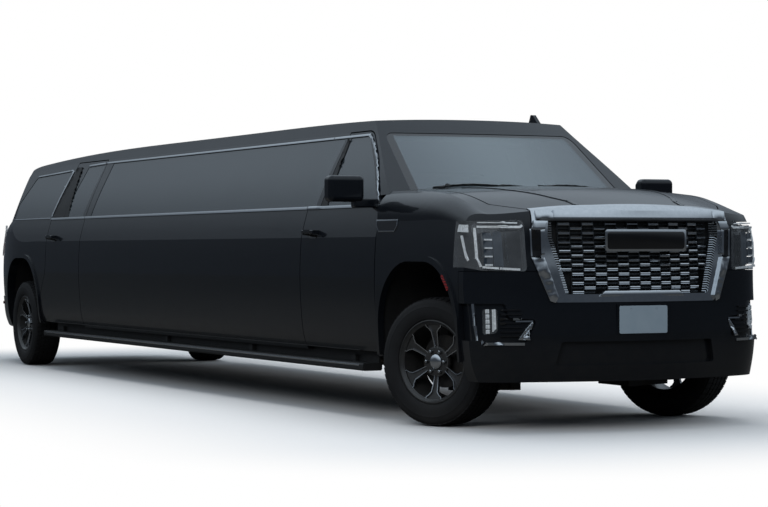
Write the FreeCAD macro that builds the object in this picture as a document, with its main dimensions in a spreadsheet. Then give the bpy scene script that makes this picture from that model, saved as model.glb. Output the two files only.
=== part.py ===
"""Stretch limousine built on a full-size sport utility vehicle, modelled as an assembly of its real panels.

Frame: +X forward, +Y to the vehicle's left, +Z up, origin on the ground under the middle of the car, in
millimetres. The car is 10.8 m long on an 8.486 m wheelbase and stands on its four tyres with the front wheels
steered left.
"""
import FreeCAD, Part
import math
import os

from FreeCAD import Placement, Rotation, Vector

doc = FreeCAD.newDocument("stretch_limousine")

# Driving dimensions: alias, value in millimetres or degrees, and what it is on the car.
DIMENSIONS = [
    ("wheelbase_length", 8486, "front axle to rear axle"),
    ("nose_overhang", 1000, "front axle to the bumper's foremost point"),
    ("tail_overhang", 1314, "rear axle to the rear bumper's last point"),
    ("half_width", 1029, "half of the body's width at the doors"),
    ("sill_height", 410, "lowest edge of the body sides"),
    ("chin_drop", 105, "how far the front bumper reaches below the body sides"),
    ("tail_fall", 8.5, "roof's fall towards the tail, per square metre"),
    ("tail_taper", 0.14, "body's narrowing behind the rear axle, per square metre"),
    ("crease_height", 1275, "shoulder crease along the sides"),
    ("belt_height", 1378, "foot of the side windows"),
    ("rail_height", 1866, "head of the side windows"),
    ("roof_height", 2009, "top of the roof"),
    ("header_drop", 34, "how far the roof falls to the windscreen's head"),
    ("wall_thickness", 70, "door and body side from skin to trim"),
    ("skin_thickness", 30, "fender, bonnet and bumper skins"),
    ("seat_clearance", 0.4, "between pieces that sit against each other"),
    ("door_gap", 9, "seam around everything that opens"),
    ("door_skin", 18, "outer layer of a door, which reaches its seams"),
    ("door_step", 18, "how far the door's inner layers stand back from its seams"),
    ("panel_gap", 4, "seam between fixed panels"),
    ("glass_thickness", 8, "all glass"),
    ("glass_recess", 3, "glass surface behind the skin"),
    ("track_width", 1740, "between the middles of the tyres"),
    ("tyre_radius", 400, "outside of the tyre"),
    ("tyre_width", 265, "section width of the tyre"),
    ("rim_radius", 262, "lip of the wheel"),
    ("rim_width", 235, "lip to lip across the wheel"),
    ("hub_bore_radius", 40.3, "bore of the wheel on its spindle"),
    ("spindle_radius", 40, "spindle in the wheel's bore"),
    ("kingpin_offset", 100, "steering axis inboard of the tyre's middle"),
    ("steer_angle", 24, "front wheels turned left as parked, degrees"),
    ("arch_radius", 530, "wheel arch opening"),
    ("arch_centre_height", 490, "height of the arch's centre"),
    ("arch_lip", 34, "width of the raised lip round each arch"),
    ("arch_lip_rise", 12, "how far the lip stands out"),
    ("door_front_seam", 600, "front door's leading edge behind the front axle"),
    ("door_rear_seam", 1800, "front door's trailing edge behind the front axle"),
    ("rear_door_front_seam", 1780, "rear door's leading edge ahead of the rear axle"),
    ("rear_door_rear_seam", 790, "rear door's trailing edge ahead of the rear axle"),
    ("frame_rail_spacing", 860, "between the middles of the frame rails"),
    ("frame_rail_width", 80, "frame rail"),
    ("frame_rail_height", 130, "frame rail"),
    ("floor_height", 500, "underside of the floor on the frame"),
    ("floor_thickness", 40, "floor with its carpet"),
    ("rear_floor_height", 640, "underside of the raised floor over the rear axle"),
    ("engine_length", 720, "plain block for the engine"),
    ("engine_width", 600, "plain block for the engine"),
    ("engine_height", 620, "plain block for the engine"),
    ("gearbox_length", 900, "plain block behind the engine"),
    ("tank_length", 1150, "fuel tank"),
    ("tank_width", 330, "fuel tank"),
    ("tank_depth", 150, "fuel tank"),
    ("shaft_radius", 38, "propeller shaft"),
    ("pipe_radius", 32, "exhaust pipe"),
    ("seat_width", 520, "front seats"),
    ("bench_depth", 480, "benches in the saloon"),
    ("bench_height", 380, "benches in the saloon"),
    ("bar_height", 620, "counter along the right side"),
    ("liner_thickness", 8, "wheel arch liners"),
    ("liner_gap", 12, "liner behind the arch opening"),
    ("plate_hole_spacing", 178, "number plate screws"),
    ("plate_hole_radius", 3.5, "number plate screws"),
    ("jack_pad_radius", 45, "lifting pads under the frame"),
]

sheet = doc.addObject("Spreadsheet::Sheet", "sizes")
for row, (alias, value, note) in enumerate(DIMENSIONS, start=1):
    sheet.set(f"A{row}", alias)
    sheet.set(f"B{row}", str(value))
    sheet.setAlias(f"B{row}", alias)
    sheet.set(f"C{row}", note)
doc.recompute()


class Sizes:
    """Reads the sheet's cells by alias."""

    def __getattr__(self, alias):
        return float(sheet.get(alias))


s = Sizes()
FRONT = (s.wheelbase_length + s.tail_overhang - s.nose_overhang) / 2
REAR = FRONT - s.wheelbase_length
NOSE = FRONT + s.nose_overhang
TAIL = REAR - s.tail_overhang
WIDE = 2 * s.half_width
TALL = 1.3 * s.roof_height


# Helpers for curves, prisms and document objects

def spline(points):
    """An edge through the points: a line through two, a smooth curve through more."""
    points = [Vector(*p) for p in points]
    if len(points) == 2:
        return Part.LineSegment(*points).toShape()
    curve = Part.BSplineCurve()
    curve.interpolate(points)
    return curve.toShape()


def rounded_wire(corners, place):
    """A closed outline of (a, b, radius) corners, with tangent arcs; place turns (a, b) into a point."""
    count = len(corners)
    edges = []
    ends = []
    for i, (a, b, radius) in enumerate(corners):
        here = Vector(a, b, 0)
        before = Vector(corners[i - 1][0], corners[i - 1][1], 0) - here
        after = Vector(corners[(i + 1) % count][0], corners[(i + 1) % count][1], 0) - here
        if radius <= 0:
            ends.append((here, here, None))
            continue
        turn = before.getAngle(after)
        reach = min(radius / math.tan(turn / 2), 0.49 * before.Length, 0.49 * after.Length)
        fitted = reach * math.tan(turn / 2)
        before.normalize()
        after.normalize()
        middle = before + after
        middle.normalize()
        top = here + middle * (fitted / math.sin(turn / 2) - fitted)
        ends.append((here + before * reach, here + after * reach, top))
    for i, (start, end, top) in enumerate(ends):
        if top is not None:
            edges.append(Part.Arc(place(start), place(top), place(end)).toShape())
        following = ends[(i + 1) % count][0]
        if end.distanceToPoint(following) > 1e-6:
            edges.append(Part.LineSegment(place(end), place(following)).toShape())
    return Part.Wire(edges)


def side_prism(corners, side, inner_y=0):
    """A block seen from the side: (x, z, radius) corners, from inner_y out past one side of the car."""
    wire = rounded_wire(corners, lambda p: Vector(p.x, side * inner_y, p.y))
    return Part.Face(wire).extrude(Vector(0, side * WIDE, 0))


def front_prism(corners, x_from, x_to):
    """A block seen from the front: (y, z, radius) corners, between two x values."""
    wire = rounded_wire(corners, lambda p: Vector(x_from, p.x, p.y))
    return Part.Face(wire).extrude(Vector(x_to - x_from, 0, 0))


def plan_prism(corners, z_from, z_to):
    """A block seen from above: (x, y, radius) corners, between two heights."""
    wire = rounded_wire(corners, lambda p: Vector(p.x, p.y, z_from))
    return Part.Face(wire).extrude(Vector(0, 0, z_to - z_from))


def block(x_from, x_to, y_from, y_to, z_from, z_to):
    return Part.makeBox(x_to - x_from, y_to - y_from, z_to - z_from, Vector(x_from, y_from, z_from))


def mirrored(shape):
    return shape.mirror(Vector(0, 0, 0), Vector(0, 1, 0))


def offset_corners(corners, distance):
    """Moves a closed outline's sides outwards by distance; a negative one moves them inwards."""
    count = len(corners)
    area = sum(corners[i - 1][0] * corners[i][1] - corners[i][0] * corners[i - 1][1] for i in range(count))
    outward = 1 if area > 0 else -1
    moved = []
    for i in range(count):
        here = Vector(corners[i][0], corners[i][1], 0)
        before = here - Vector(corners[i - 1][0], corners[i - 1][1], 0)
        after = Vector(corners[(i + 1) % count][0], corners[(i + 1) % count][1], 0) - here
        before.normalize()
        after.normalize()
        normal_before = Vector(before.y, -before.x, 0) * outward
        normal_after = Vector(after.y, -after.x, 0) * outward
        middle = normal_before + normal_after
        middle.normalize()
        shift = middle * (distance / middle.dot(normal_before))
        radius = corners[i][2]
        moved.append((here.x + shift.x, here.y + shift.y, max(radius + distance, 0) if radius else 0))
    return moved


def single(shape):
    """One clean solid or compound of solids from a boolean's result."""
    solids = [solid for solid in shape.Solids if solid.Volume > 1000]
    return solids[0] if len(solids) == 1 else Part.makeCompound(solids)


PIECES = []


def piece(name, shape):
    """Keeps a shape as the document's own object for that sub-part."""
    feature = doc.addObject("Part::Feature", name)
    feature.Shape = single(shape)
    feature.Label = name
    PIECES.append(feature)
    return feature


def joined(name, parts):
    """A Part fuse of several objects, kept as a sub-part."""
    fuse = doc.addObject("Part::MultiFuse", name)
    fuse.Shapes = parts
    fuse.Label = name
    PIECES.append(fuse)
    return fuse


# Body surfaces. Every panel is cut from these envelopes; inset moves the whole surface inwards.

def mirror_chains(x, chains, crown):
    """A closed section across the car at x, from the right half's chains and the crown over the middle."""
    edges = [spline([(x, -chains[0][0][0], chains[0][0][1]), (x, chains[0][0][0], chains[0][0][1])])]
    edges += [spline([(x, y, z) for y, z in chain]) for chain in chains]
    edges.append(spline([(x, y, z) for y, z in crown]))
    edges += [spline([(x, -y, z) for y, z in reversed(chain)]) for chain in reversed(chains)]
    return Part.Wire(edges)


def side_points(inset, scale, foot):
    """The body side from its foot up to the shoulder crease, as (y, z)."""
    wide = (s.half_width - inset) * scale
    crease = s.crease_height
    low = s.sill_height - foot
    return [
        (wide - 64, low),
        (wide - 38, low + 0.07 * (crease - low)),
        (wide - 13, low + 0.25 * (crease - low)),
        (wide, low + 0.51 * (crease - low)),
        (wide - 3, low + 0.75 * (crease - low)),
        (wide - 21, crease),
    ]


def cabin_section(x, inset):
    """The whole section of the cabin: body side, shoulder, window plane, roof rail and crown."""
    behind = (max(0.0, REAR - 60 - x) / 1000) ** 2
    scale = 1 - s.tail_taper * behind
    header = max(0.0, 1 - (FRONT - 1083 - x) / 1400)
    header = min(header, 1.05)
    drop = s.header_drop * header ** 2
    tail_drop = s.tail_fall * (max(0.0, FRONT - 5900 - x) / 1000) ** 2
    wide = (s.half_width - inset) * scale
    glass_foot = (wide - 44 - 60 * behind, s.belt_height)
    head_z = s.rail_height - inset - 0.62 * tail_drop
    lean = 150 / (s.rail_height - s.belt_height)
    glass_head = (glass_foot[0] - lean * (s.rail_height - inset - s.belt_height) - 90 * behind, head_z)
    side = side_points(inset, scale, 60 if inset else 0)
    side[-1] = (side[-1][0], s.crease_height)
    shoulder = [
        side[-1],
        (wide - 30 - 30 * behind, s.crease_height + 0.55 * (s.belt_height - s.crease_height)),
        glass_foot,
    ]
    glass = [
        glass_foot,
        (0.5 * (glass_foot[0] + glass_head[0]) + 9, 0.5 * (s.belt_height + head_z)),
        glass_head,
    ]
    top = s.roof_height - inset - drop - tail_drop
    rail_top = s.roof_height - 36 - inset - 0.4 * drop - tail_drop
    half = wide - 284 - 150 * behind
    rail = [
        glass_head,
        (glass_head[0] + 0.31 * (half - glass_head[0]), head_z + 0.62 * (rail_top - head_z)),
        (half, rail_top),
    ]
    crown = [
        rail[-1],
        (0.55 * half, top - 0.27 * (top - rail_top)),
        (0, top),
        (-0.55 * half, top - 0.27 * (top - rail_top)),
        (-rail[-1][0], rail_top),
    ]
    return mirror_chains(x, [side, shoulder, glass, rail], crown)


def screen_solid(inset):
    """Everything behind the windscreen's surface: a plan arc pushed up along the screen's rake."""
    rake = math.radians(35.5)
    base_x = FRONT - 395 - inset / math.sin(rake)
    base_z = 1400
    bow = 62
    low = base_z - 1100
    shift = (base_z - low) / math.tan(rake)
    reach = WIDE
    start = Vector(base_x + shift - bow * (reach / 780) ** 2, reach, low)
    tip = Vector(base_x + shift, 0, low)
    end = Vector(base_x + shift - bow * (reach / 780) ** 2, -reach, low)
    back = TAIL - 3 * TALL
    edges = [
        Part.Arc(start, tip, end).toShape(),
        Part.LineSegment(end, Vector(back, -reach, low)).toShape(),
        Part.LineSegment(Vector(back, -reach, low), Vector(back, reach, low)).toShape(),
        Part.LineSegment(Vector(back, reach, low), start).toShape(),
    ]
    return Part.Face(Part.Wire(edges)).extrude(Vector(-TALL / math.tan(rake), 0, TALL))


def tail_outline(z, last_x, half, inset):
    """The plan outline at one height: open towards the nose, round at the rear corners."""
    wide = half - inset
    last = last_x + inset
    points = [
        (last + 600, wide + 60, z),
        (last + 330, wide - 60, z),
        (last + 150, wide - 150, z),
        (last + 56, wide - 270, z),
        (last + 10, 0.42 * wide, z),
        (last, 0, z),
    ]
    points += [(x, -y, z) for x, y, z in reversed(points[:-1])]
    wide = wide + 60
    far = NOSE + 500
    edges = [
        spline(points),
        spline([points[-1], (far, -wide, z)]),
        spline([(far, -wide, z), (far, wide, z)]),
        spline([(far, wide, z), points[0]]),
    ]
    return Part.Wire(edges)


TAIL_LEVELS = [
    # height, how far the surface stands ahead of the car's last point, half width that rules the corner
    (200, 40, 985),
    (640, 12, 992),
    (1000, 10, 985),
    (s.belt_height, 45, 905),
    (1700, 165, 775),
    (2100, 330, 610),
]


def tail_solid(inset):
    """Everything ahead of the car's rear surface, which leans forward above the belt."""
    wires = [tail_outline(z, TAIL + lean, half, inset) for z, lean, half in TAIL_LEVELS]
    return Part.makeLoft(wires, True, False)


def cabin_solid(inset):
    """The cabin from the windscreen to the rear surface."""
    stations = [FRONT - back for back in (100, 600, 1083, 1500, 2000, 2483, 3400)]
    stations.append(0.5 * (FRONT + REAR))
    stations += [REAR + ahead for ahead in (2200, 1200, 700, 350, 0, -350, -700, -1050, -1450)]
    loft = Part.makeLoft([cabin_section(x, inset) for x in stations], True, False)
    return loft.common(screen_solid(inset)).common(tail_solid(inset))


NOSE_STATIONS = [
    # behind or ahead of the front axle, bonnet height in the middle, fender top height
    (-700, 1505, 1470),
    (-300, 1502, 1465),
    (0, 1495, 1453),
    (300, 1478, 1418),
    (600, 1440, 1335),
    (900, 1354, 1262),
    (1200, 1300, 1196),
]


def nose_section(ahead, middle, edge, inset):
    """A section of the nose: body side, shoulder, fender top and bonnet."""
    side = side_points(inset, 1, s.chin_drop + (60 if inset else 0))
    crease = min(s.crease_height, edge - 100)
    side[-1] = (side[-1][0], crease)
    edge_y = s.half_width - 125 - inset
    shoulder = [
        side[-1],
        (s.half_width - inset - 44, crease + 0.62 * (edge - inset - crease)),
        (edge_y, edge - inset),
    ]
    crown = [
        (edge_y, edge - inset),
        (0.80 * edge_y, edge - inset + 0.36 * (middle - edge)),
        (0.5 * edge_y, edge - inset + 0.78 * (middle - edge)),
        (0, middle - inset),
    ]
    crown += [(-y, z) for y, z in reversed(crown[:-1])]
    return mirror_chains(FRONT + ahead, [side, shoulder], crown)


def nose_outline(z, first_x, swell, inset):
    """The nose's plan outline at one height: a bowed front, with corners that swell out into the fenders."""
    wide = s.half_width + 1
    first = first_x - inset
    points = [
        (first - 620, wide + 60 - inset + 30 * swell, z),
        (first - 435 + 24 * swell, wide - 12 - 0.7 * inset + 36 * swell, z),
        (first - 255 + 32 * swell, wide - 130 - 0.4 * inset + 46 * swell, z),
        (first - 112, 0.66 * wide, z),
        (first - 32, 0.36 * wide, z),
        (first, 0, z),
    ]
    points += [(x, -y, z) for x, y, z in reversed(points[:-1])]
    far = FRONT - 1600
    edges = [
        spline(points),
        spline([points[-1], (far, points[-1][1], z)]),
        spline([(far, points[-1][1], z), (far, points[0][1], z)]),
        spline([(far, points[0][1], z), points[0]]),
    ]
    return Part.Wire(edges)


NOSE_LEVELS = [
    # height, how far the surface stands behind the car's first point, how much the corners swell
    (150, 70, 0.7),
    (420, 10, 0.9),
    (560, 0, 1),
    (760, 8, 1),
    (1000, 16, 1),
    (1200, 26, 0.8),
    (1290, 44, 0.4),
    (1370, 110, 0.1),
    (1500, 260, 0),
]


def nose_trim(inset):
    """Everything behind the car's front surface."""
    wires = [nose_outline(z, NOSE - back, swell, inset) for z, back, swell in NOSE_LEVELS]
    return Part.makeLoft(wires, True, False)


def nose_solid(inset):
    """The nose from the door seam to the bumper."""
    loft = Part.makeLoft([nose_section(a, m, e, inset) for a, m, e in NOSE_STATIONS], True, False)
    return loft.common(nose_trim(inset))


MADE = {}


def cabin(inset):
    """The cabin envelope moved inwards by inset, made once for each inset."""
    if ("cabin", inset) not in MADE:
        MADE["cabin", inset] = cabin_solid(inset)
    return MADE["cabin", inset]


def nose(inset):
    """The nose envelope moved inwards by inset, made once for each inset."""
    if ("nose", inset) not in MADE:
        MADE["nose", inset] = nose_solid(inset)
    return MADE["nose", inset]


CABIN = cabin(0)
CABIN_INNER = cabin(s.wall_thickness)
NOSE_OUTER = nose(0)
NOSE_INNER = nose(s.skin_thickness)
GLASS_OUTER = cabin(s.glass_recess)
GLASS_INNER = cabin(s.glass_recess + s.glass_thickness)


# Outlines seen from the side, in (x, z, radius)

def arch_corners(axle, grow):
    """A wheel arch: a round head on straight, slightly spread legs."""
    radius = s.arch_radius + grow
    centre = s.arch_centre_height
    top = centre + radius
    foot = 150
    spread = 18
    return [
        (axle - radius - spread, foot, 0),
        (axle - radius, top, 0.95 * radius),
        (axle + radius, top, 0.95 * radius),
        (axle + radius + spread, foot, 0),
    ]


DOOR_FRONT = FRONT - s.door_front_seam
DOOR_REAR = FRONT - s.door_rear_seam
BACK_DOOR_FRONT = REAR + s.rear_door_front_seam
BACK_DOOR_REAR = REAR + s.rear_door_rear_seam
DOOR_FOOT = s.sill_height + 6
DOOR_HEAD = s.rail_height + 24
FIXED_HEAD = DOOR_HEAD + s.door_gap - s.seat_clearance
GLASS_FOOT = s.belt_height + 12
GLASS_HEAD = s.rail_height - 10

POST_HEAD_X = FRONT - 1560
POST_FOOT_X = FRONT - 1590

front_window = [
    (FRONT - 690, GLASS_FOOT, 16),
    (FRONT - 955, GLASS_FOOT + 262, 600),
    (FRONT - 1225, GLASS_HEAD, 160),
    (POST_HEAD_X + 38, GLASS_HEAD, 12),
    (POST_FOOT_X + 110, GLASS_FOOT, 12),
]
front_door = [
    (DOOR_FRONT - s.door_gap / 2, DOOR_FOOT, 20),
    (DOOR_FRONT - s.door_gap / 2, s.belt_height - 34, 40),
    (FRONT - 920, GLASS_FOOT + 296, 600),
    (FRONT - 1195, DOOR_HEAD, 200),
    (POST_HEAD_X, DOOR_HEAD, 8),
    (POST_FOOT_X, s.belt_height - 2, 0),
    (DOOR_REAR + s.door_gap / 2, s.belt_height - 2, 0),
    (DOOR_REAR + s.door_gap / 2, DOOR_FOOT, 20),
]
long_window = [
    (POST_FOOT_X - 84, GLASS_FOOT, 12),
    (POST_HEAD_X - 50, GLASS_HEAD, 12),
    (BACK_DOOR_FRONT + 186, GLASS_HEAD, 12),
    (BACK_DOOR_FRONT + 136, GLASS_FOOT, 12),
]
rear_window = [
    (BACK_DOOR_FRONT - 89, GLASS_FOOT, 12),
    (BACK_DOOR_FRONT - 34, GLASS_HEAD - 4, 12),
    (BACK_DOOR_REAR + 500, GLASS_HEAD - 14, 14),
    (BACK_DOOR_REAR + 344, GLASS_FOOT, 14),
]
rear_door = [
    (BACK_DOOR_FRONT - s.door_gap / 2, DOOR_FOOT, 20),
    (BACK_DOOR_FRONT - s.door_gap / 2, DOOR_HEAD, 8),
    (BACK_DOOR_REAR + 175, DOOR_HEAD, 20),
    (BACK_DOOR_REAR + s.door_gap / 2, s.belt_height, 100),
    (BACK_DOOR_REAR + s.door_gap / 2, 900, 160),
    (REAR + s.arch_radius + 46, 640, 60),
    (REAR + s.arch_radius + 46, DOOR_FOOT, 20),
]
quarter_window = [
    (BACK_DOOR_REAR - 40, GLASS_FOOT + 4, 22),
    (BACK_DOOR_REAR + 60, GLASS_HEAD - 34, 22),
    (REAR - 196, GLASS_HEAD - 66, 60),
    (REAR - 560, GLASS_FOOT + 10, 40),
]


# The roof keeps what lies nearer the middle than these; the quarters reach further in behind the axle.
ROOF_EDGE_Y = 690
TAIL_EDGE_Y = 480
TAIL_EDGE_X = REAR - 350
SEAM_FALL = 80
SEAM_FRONT = BACK_DOOR_REAR + 175


def seam_height(x):
    """The seam between the roof and the fixed sides: level, then falling towards the tail."""
    return DOOR_HEAD + s.door_gap - SEAM_FALL * max(0.0, SEAM_FRONT - x) / (SEAM_FRONT - TAIL)


def side_panel(corners, inner_y=ROOF_EDGE_Y + s.seat_clearance):
    """A right-hand body side panel cut to an outline, hollow behind its wall."""
    return CABIN.common(side_prism(corners, -1, inner_y)).cut(CABIN_INNER)


def door_leaf(corners):
    """A door: its skin fills the outline and the deeper layers step back, so that it swings clear."""
    middle = cabin(s.door_skin)
    inner_y = ROOF_EDGE_Y + s.door_gap
    skin = CABIN.cut(middle).common(side_prism(corners, -1, inner_y))
    core = middle.cut(CABIN_INNER).common(side_prism(offset_corners(corners, -s.door_step), -1, inner_y))
    return skin.fuse(core)


def window_cut(corners):
    """The block that opens a window through a wall on the right."""
    return side_prism(corners, -1)


def pane(corners, side=-1):
    """A pane of side glass that fills a window with a small clearance."""
    fitted = offset_corners(corners, -s.seat_clearance)
    solid = GLASS_OUTER.common(side_prism(fitted, -1)).cut(GLASS_INNER)
    return solid if side < 0 else mirrored(solid)


def arch_lip_ring(axle):
    """The raised lip round an arch on the right side, standing out of the skin."""
    outer = side_prism(arch_corners(axle, s.arch_lip), -1)
    inner = side_prism(arch_corners(axle, 0), -1)
    return outer.cut(inner)


# Doors

def handle(x, z):
    """A pull handle with its two feet, standing off the skin on the right side."""
    y = -(s.half_width - 8)
    grip = Part.makeBox(190, 16, 26, Vector(x - 95, y - 46, z - 13))
    grip = grip.makeFillet(6, grip.Edges)
    front_foot = Part.makeBox(26, 48, 22, Vector(x + 62, y - 38, z - 11))
    rear_foot = Part.makeBox(34, 48, 22, Vector(x - 90, y - 38, z - 11))
    return grip.fuse(front_foot).fuse(rear_foot)


FRONT_HANDLE_X = DOOR_REAR + 200
REAR_HANDLE_X = BACK_DOOR_REAR + 215
HANDLE_Z = s.crease_height - 60

front_door_right = door_leaf(front_door).cut(window_cut(front_window))
front_door_right = front_door_right.fuse(handle(FRONT_HANDLE_X, HANDLE_Z))
rear_door_right = door_leaf(rear_door).cut(window_cut(rear_window))
rear_door_right = rear_door_right.fuse(handle(REAR_HANDLE_X, HANDLE_Z))

piece("front_door_right", front_door_right)
piece("front_door_left", mirrored(front_door_right))
piece("rear_door_right", rear_door_right)
piece("rear_door_left", mirrored(rear_door_right))
piece("front_door_glass_right", pane(front_window))
piece("front_door_glass_left", pane(front_window, 1))
piece("rear_door_glass_right", pane(rear_window))
piece("rear_door_glass_left", pane(rear_window, 1))

# Body sides: the long panel of the stretch and the quarter behind the rear door

stretch_outline = [
    (DOOR_REAR - s.door_gap / 2, s.sill_height, 0),
    (DOOR_REAR - s.door_gap / 2, s.belt_height - 2 + s.door_gap, 0),
    (POST_FOOT_X - s.door_gap, s.belt_height - 2 + s.door_gap, 0),
    (POST_HEAD_X - s.door_gap, FIXED_HEAD, 0),
    (BACK_DOOR_FRONT + s.door_gap / 2, FIXED_HEAD, 0),
    (BACK_DOOR_FRONT + s.door_gap / 2, s.sill_height, 0),
]
stretch = side_panel(stretch_outline).cut(window_cut(long_window))
piece("stretch_sides", Part.makeCompound([stretch, mirrored(stretch)]))

TAILGATE_HALF = 800
TAILGATE_FOOT = 660
TAILGATE_HEAD = s.roof_height + 60
BUMPER_TOP = 640
tailgate_face = [
    (-TAILGATE_HALF, TAILGATE_FOOT, 60),
    (-TAILGATE_HALF, s.belt_height, 120),
    (-TAILGATE_HALF + 300, TAILGATE_HEAD, 0),
    (TAILGATE_HALF - 300, TAILGATE_HEAD, 0),
    (TAILGATE_HALF, s.belt_height, 120),
    (TAILGATE_HALF, TAILGATE_FOOT, 60),
]
TAILGATE_SEAM_X = TAIL + 420
tail_lamp_face = [
    (-s.half_width - 40, 930, 0),
    (-s.half_width - 40, 1345, 0),
    (-TAILGATE_HALF - 22, 1345, 30),
    (-TAILGATE_HALF - 22, 930, 30),
]
TAIL_LAMP_X = TAIL + 300

quarter_outline = [
    (SEAM_FRONT - s.door_gap, FIXED_HEAD, 0),
    (BACK_DOOR_REAR - s.door_gap / 2, s.belt_height, 100),
    (BACK_DOOR_REAR - s.door_gap / 2, 900, 160),
    (REAR + s.arch_radius + 38, 640, 60),
    (REAR + s.arch_radius + 38, s.sill_height, 0),
    (TAIL_EDGE_X, s.sill_height, 0),
    (TAIL_EDGE_X, seam_height(TAIL_EDGE_X) - s.seat_clearance, 0),
]
tail_outline_side = [
    (TAIL_EDGE_X, s.sill_height, 0),
    (TAIL - 100, s.sill_height, 0),
    (TAIL - 100, seam_height(TAIL - 100) - s.seat_clearance, 0),
    (TAIL_EDGE_X, seam_height(TAIL_EDGE_X) - s.seat_clearance, 0),
]
lip_right = cabin(-s.arch_lip_rise).common(arch_lip_ring(REAR)).cut(CABIN_INNER)
lip_right = lip_right.common(block(REAR - 700, REAR + 574, -WIDE, 0, s.sill_height + 10, TALL))
tail_side = side_panel(tail_outline_side, TAIL_EDGE_Y + s.seat_clearance)
quarter = side_panel(quarter_outline).fuse(tail_side).fuse(lip_right)
quarter = quarter.cut(side_prism(arch_corners(REAR, 0), -1)).cut(window_cut(quarter_window))
tailgate_outline = offset_corners(tailgate_face, s.door_gap)
tailgate_space = front_prism(tailgate_outline, TAIL - 300, TAILGATE_SEAM_X + s.door_gap)
quarter = quarter.cut(tailgate_space)
quarter = quarter.cut(front_prism(offset_corners(tail_lamp_face, s.seat_clearance), TAIL - 300, TAIL_LAMP_X))
quarter = quarter.cut(block(TAIL - 300, REAR - s.arch_radius - 30, -WIDE, 0, 0, BUMPER_TOP + s.panel_gap))
piece("rear_quarters", Part.makeCompound([quarter, mirrored(quarter)]))

tail_lamp = CABIN.common(front_prism(tail_lamp_face, TAIL - 300, TAIL_LAMP_X - s.seat_clearance))
tail_lamp = tail_lamp.cut(CABIN_INNER)
piece("tail_lamps", Part.makeCompound([tail_lamp, mirrored(tail_lamp)]))

# Tailgate with its glass, and the rear bumper

tailgate_window = [
    (-TAILGATE_HALF + 110, s.belt_height + 20, 50),
    (-TAILGATE_HALF + 270, s.rail_height - 70, 50),
    (TAILGATE_HALF - 270, s.rail_height - 70, 50),
    (TAILGATE_HALF - 110, s.belt_height + 20, 50),
]
tailgate = CABIN.common(front_prism(tailgate_face, TAIL - 300, TAILGATE_SEAM_X)).cut(CABIN_INNER)
tailgate = tailgate.cut(front_prism(tailgate_window, TAIL - 300, TAILGATE_SEAM_X - 60))
piece("tailgate", tailgate)
back_glass = GLASS_OUTER.common(
    front_prism(offset_corners(tailgate_window, -s.seat_clearance), TAIL - 300, TAILGATE_SEAM_X)
).cut(GLASS_INNER)
piece("tailgate_glass", back_glass)

bumper_space = block(TAIL - 300, REAR - s.arch_radius - 34, -WIDE, WIDE, 340, BUMPER_TOP)
rear_bumper = cabin(-6).common(bumper_space).cut(CABIN_INNER)
rear_bumper = rear_bumper.cut(side_prism(arch_corners(REAR, 4), -1)).cut(side_prism(arch_corners(REAR, 4), 1))
piece("rear_bumper", rear_bumper)

# Roof with the windscreen's pillars

screen_face = [
    (-800, 1395, 40),
    (-712, s.rail_height + 12, 70),
    (712, s.rail_height + 12, 70),
    (800, 1395, 40),
]
SCREEN_BACK = FRONT - 1260
ROOF_SHELL = 50
ROOF_INNER = cabin(ROOF_SHELL)
door_space = offset_corners(front_door, s.door_gap)
roof = CABIN.common(block(TAIL - 200, FRONT, -WIDE, WIDE, s.belt_height + 14, TALL)).cut(ROOF_INNER)
side_space = [
    (POST_HEAD_X, 0, 0),
    (POST_HEAD_X, seam_height(POST_HEAD_X), 0),
    (SEAM_FRONT, seam_height(SEAM_FRONT), 0),
    (TAIL_EDGE_X, seam_height(TAIL_EDGE_X), 0),
    (TAIL_EDGE_X, 0, 0),
]
tail_space = [
    (TAIL_EDGE_X, 0, 0),
    (TAIL_EDGE_X, seam_height(TAIL_EDGE_X), 0),
    (TAIL - 200, seam_height(TAIL - 200), 0),
    (TAIL - 200, 0, 0),
]
for roof_side in (-1, 1):
    roof = roof.cut(side_prism(door_space, roof_side, ROOF_EDGE_Y))
    roof = roof.cut(side_prism(side_space, roof_side, ROOF_EDGE_Y))
    roof = roof.cut(side_prism(tail_space, roof_side, TAIL_EDGE_Y))
roof = roof.cut(front_prism(screen_face, SCREEN_BACK, FRONT + 400)).cut(nose(-s.seat_clearance))
roof = roof.cut(tailgate_space)
FIN_X = FRONT - 1400
FIN_Y = 550
antenna_wire = rounded_wire(
    [(FIN_X, 0, 0), (FIN_X + 60, 124, 12), (FIN_X + 90, 122, 10), (FIN_X + 230, 0, 0)],
    lambda p: Vector(p.x, FIN_Y - 13, s.roof_height - 98 + p.y),
)
antenna = Part.Face(antenna_wire).extrude(Vector(0, 26, 0))
roof = roof.fuse(antenna)
piece("roof", roof)

screen = GLASS_OUTER.common(
    front_prism(offset_corners(screen_face, -s.seat_clearance), SCREEN_BACK, FRONT + 400)
).cut(GLASS_INNER).cut(nose(-s.seat_clearance))
piece("windscreen", screen)

long_glass = pane(long_window)
quarter_glass = pane(quarter_window)
piece(
    "side_glass",
    Part.makeCompound([long_glass, mirrored(long_glass), quarter_glass, mirrored(quarter_glass)]),
)

# Nose: fenders, bonnet, grille, lamps and bumper

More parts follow.
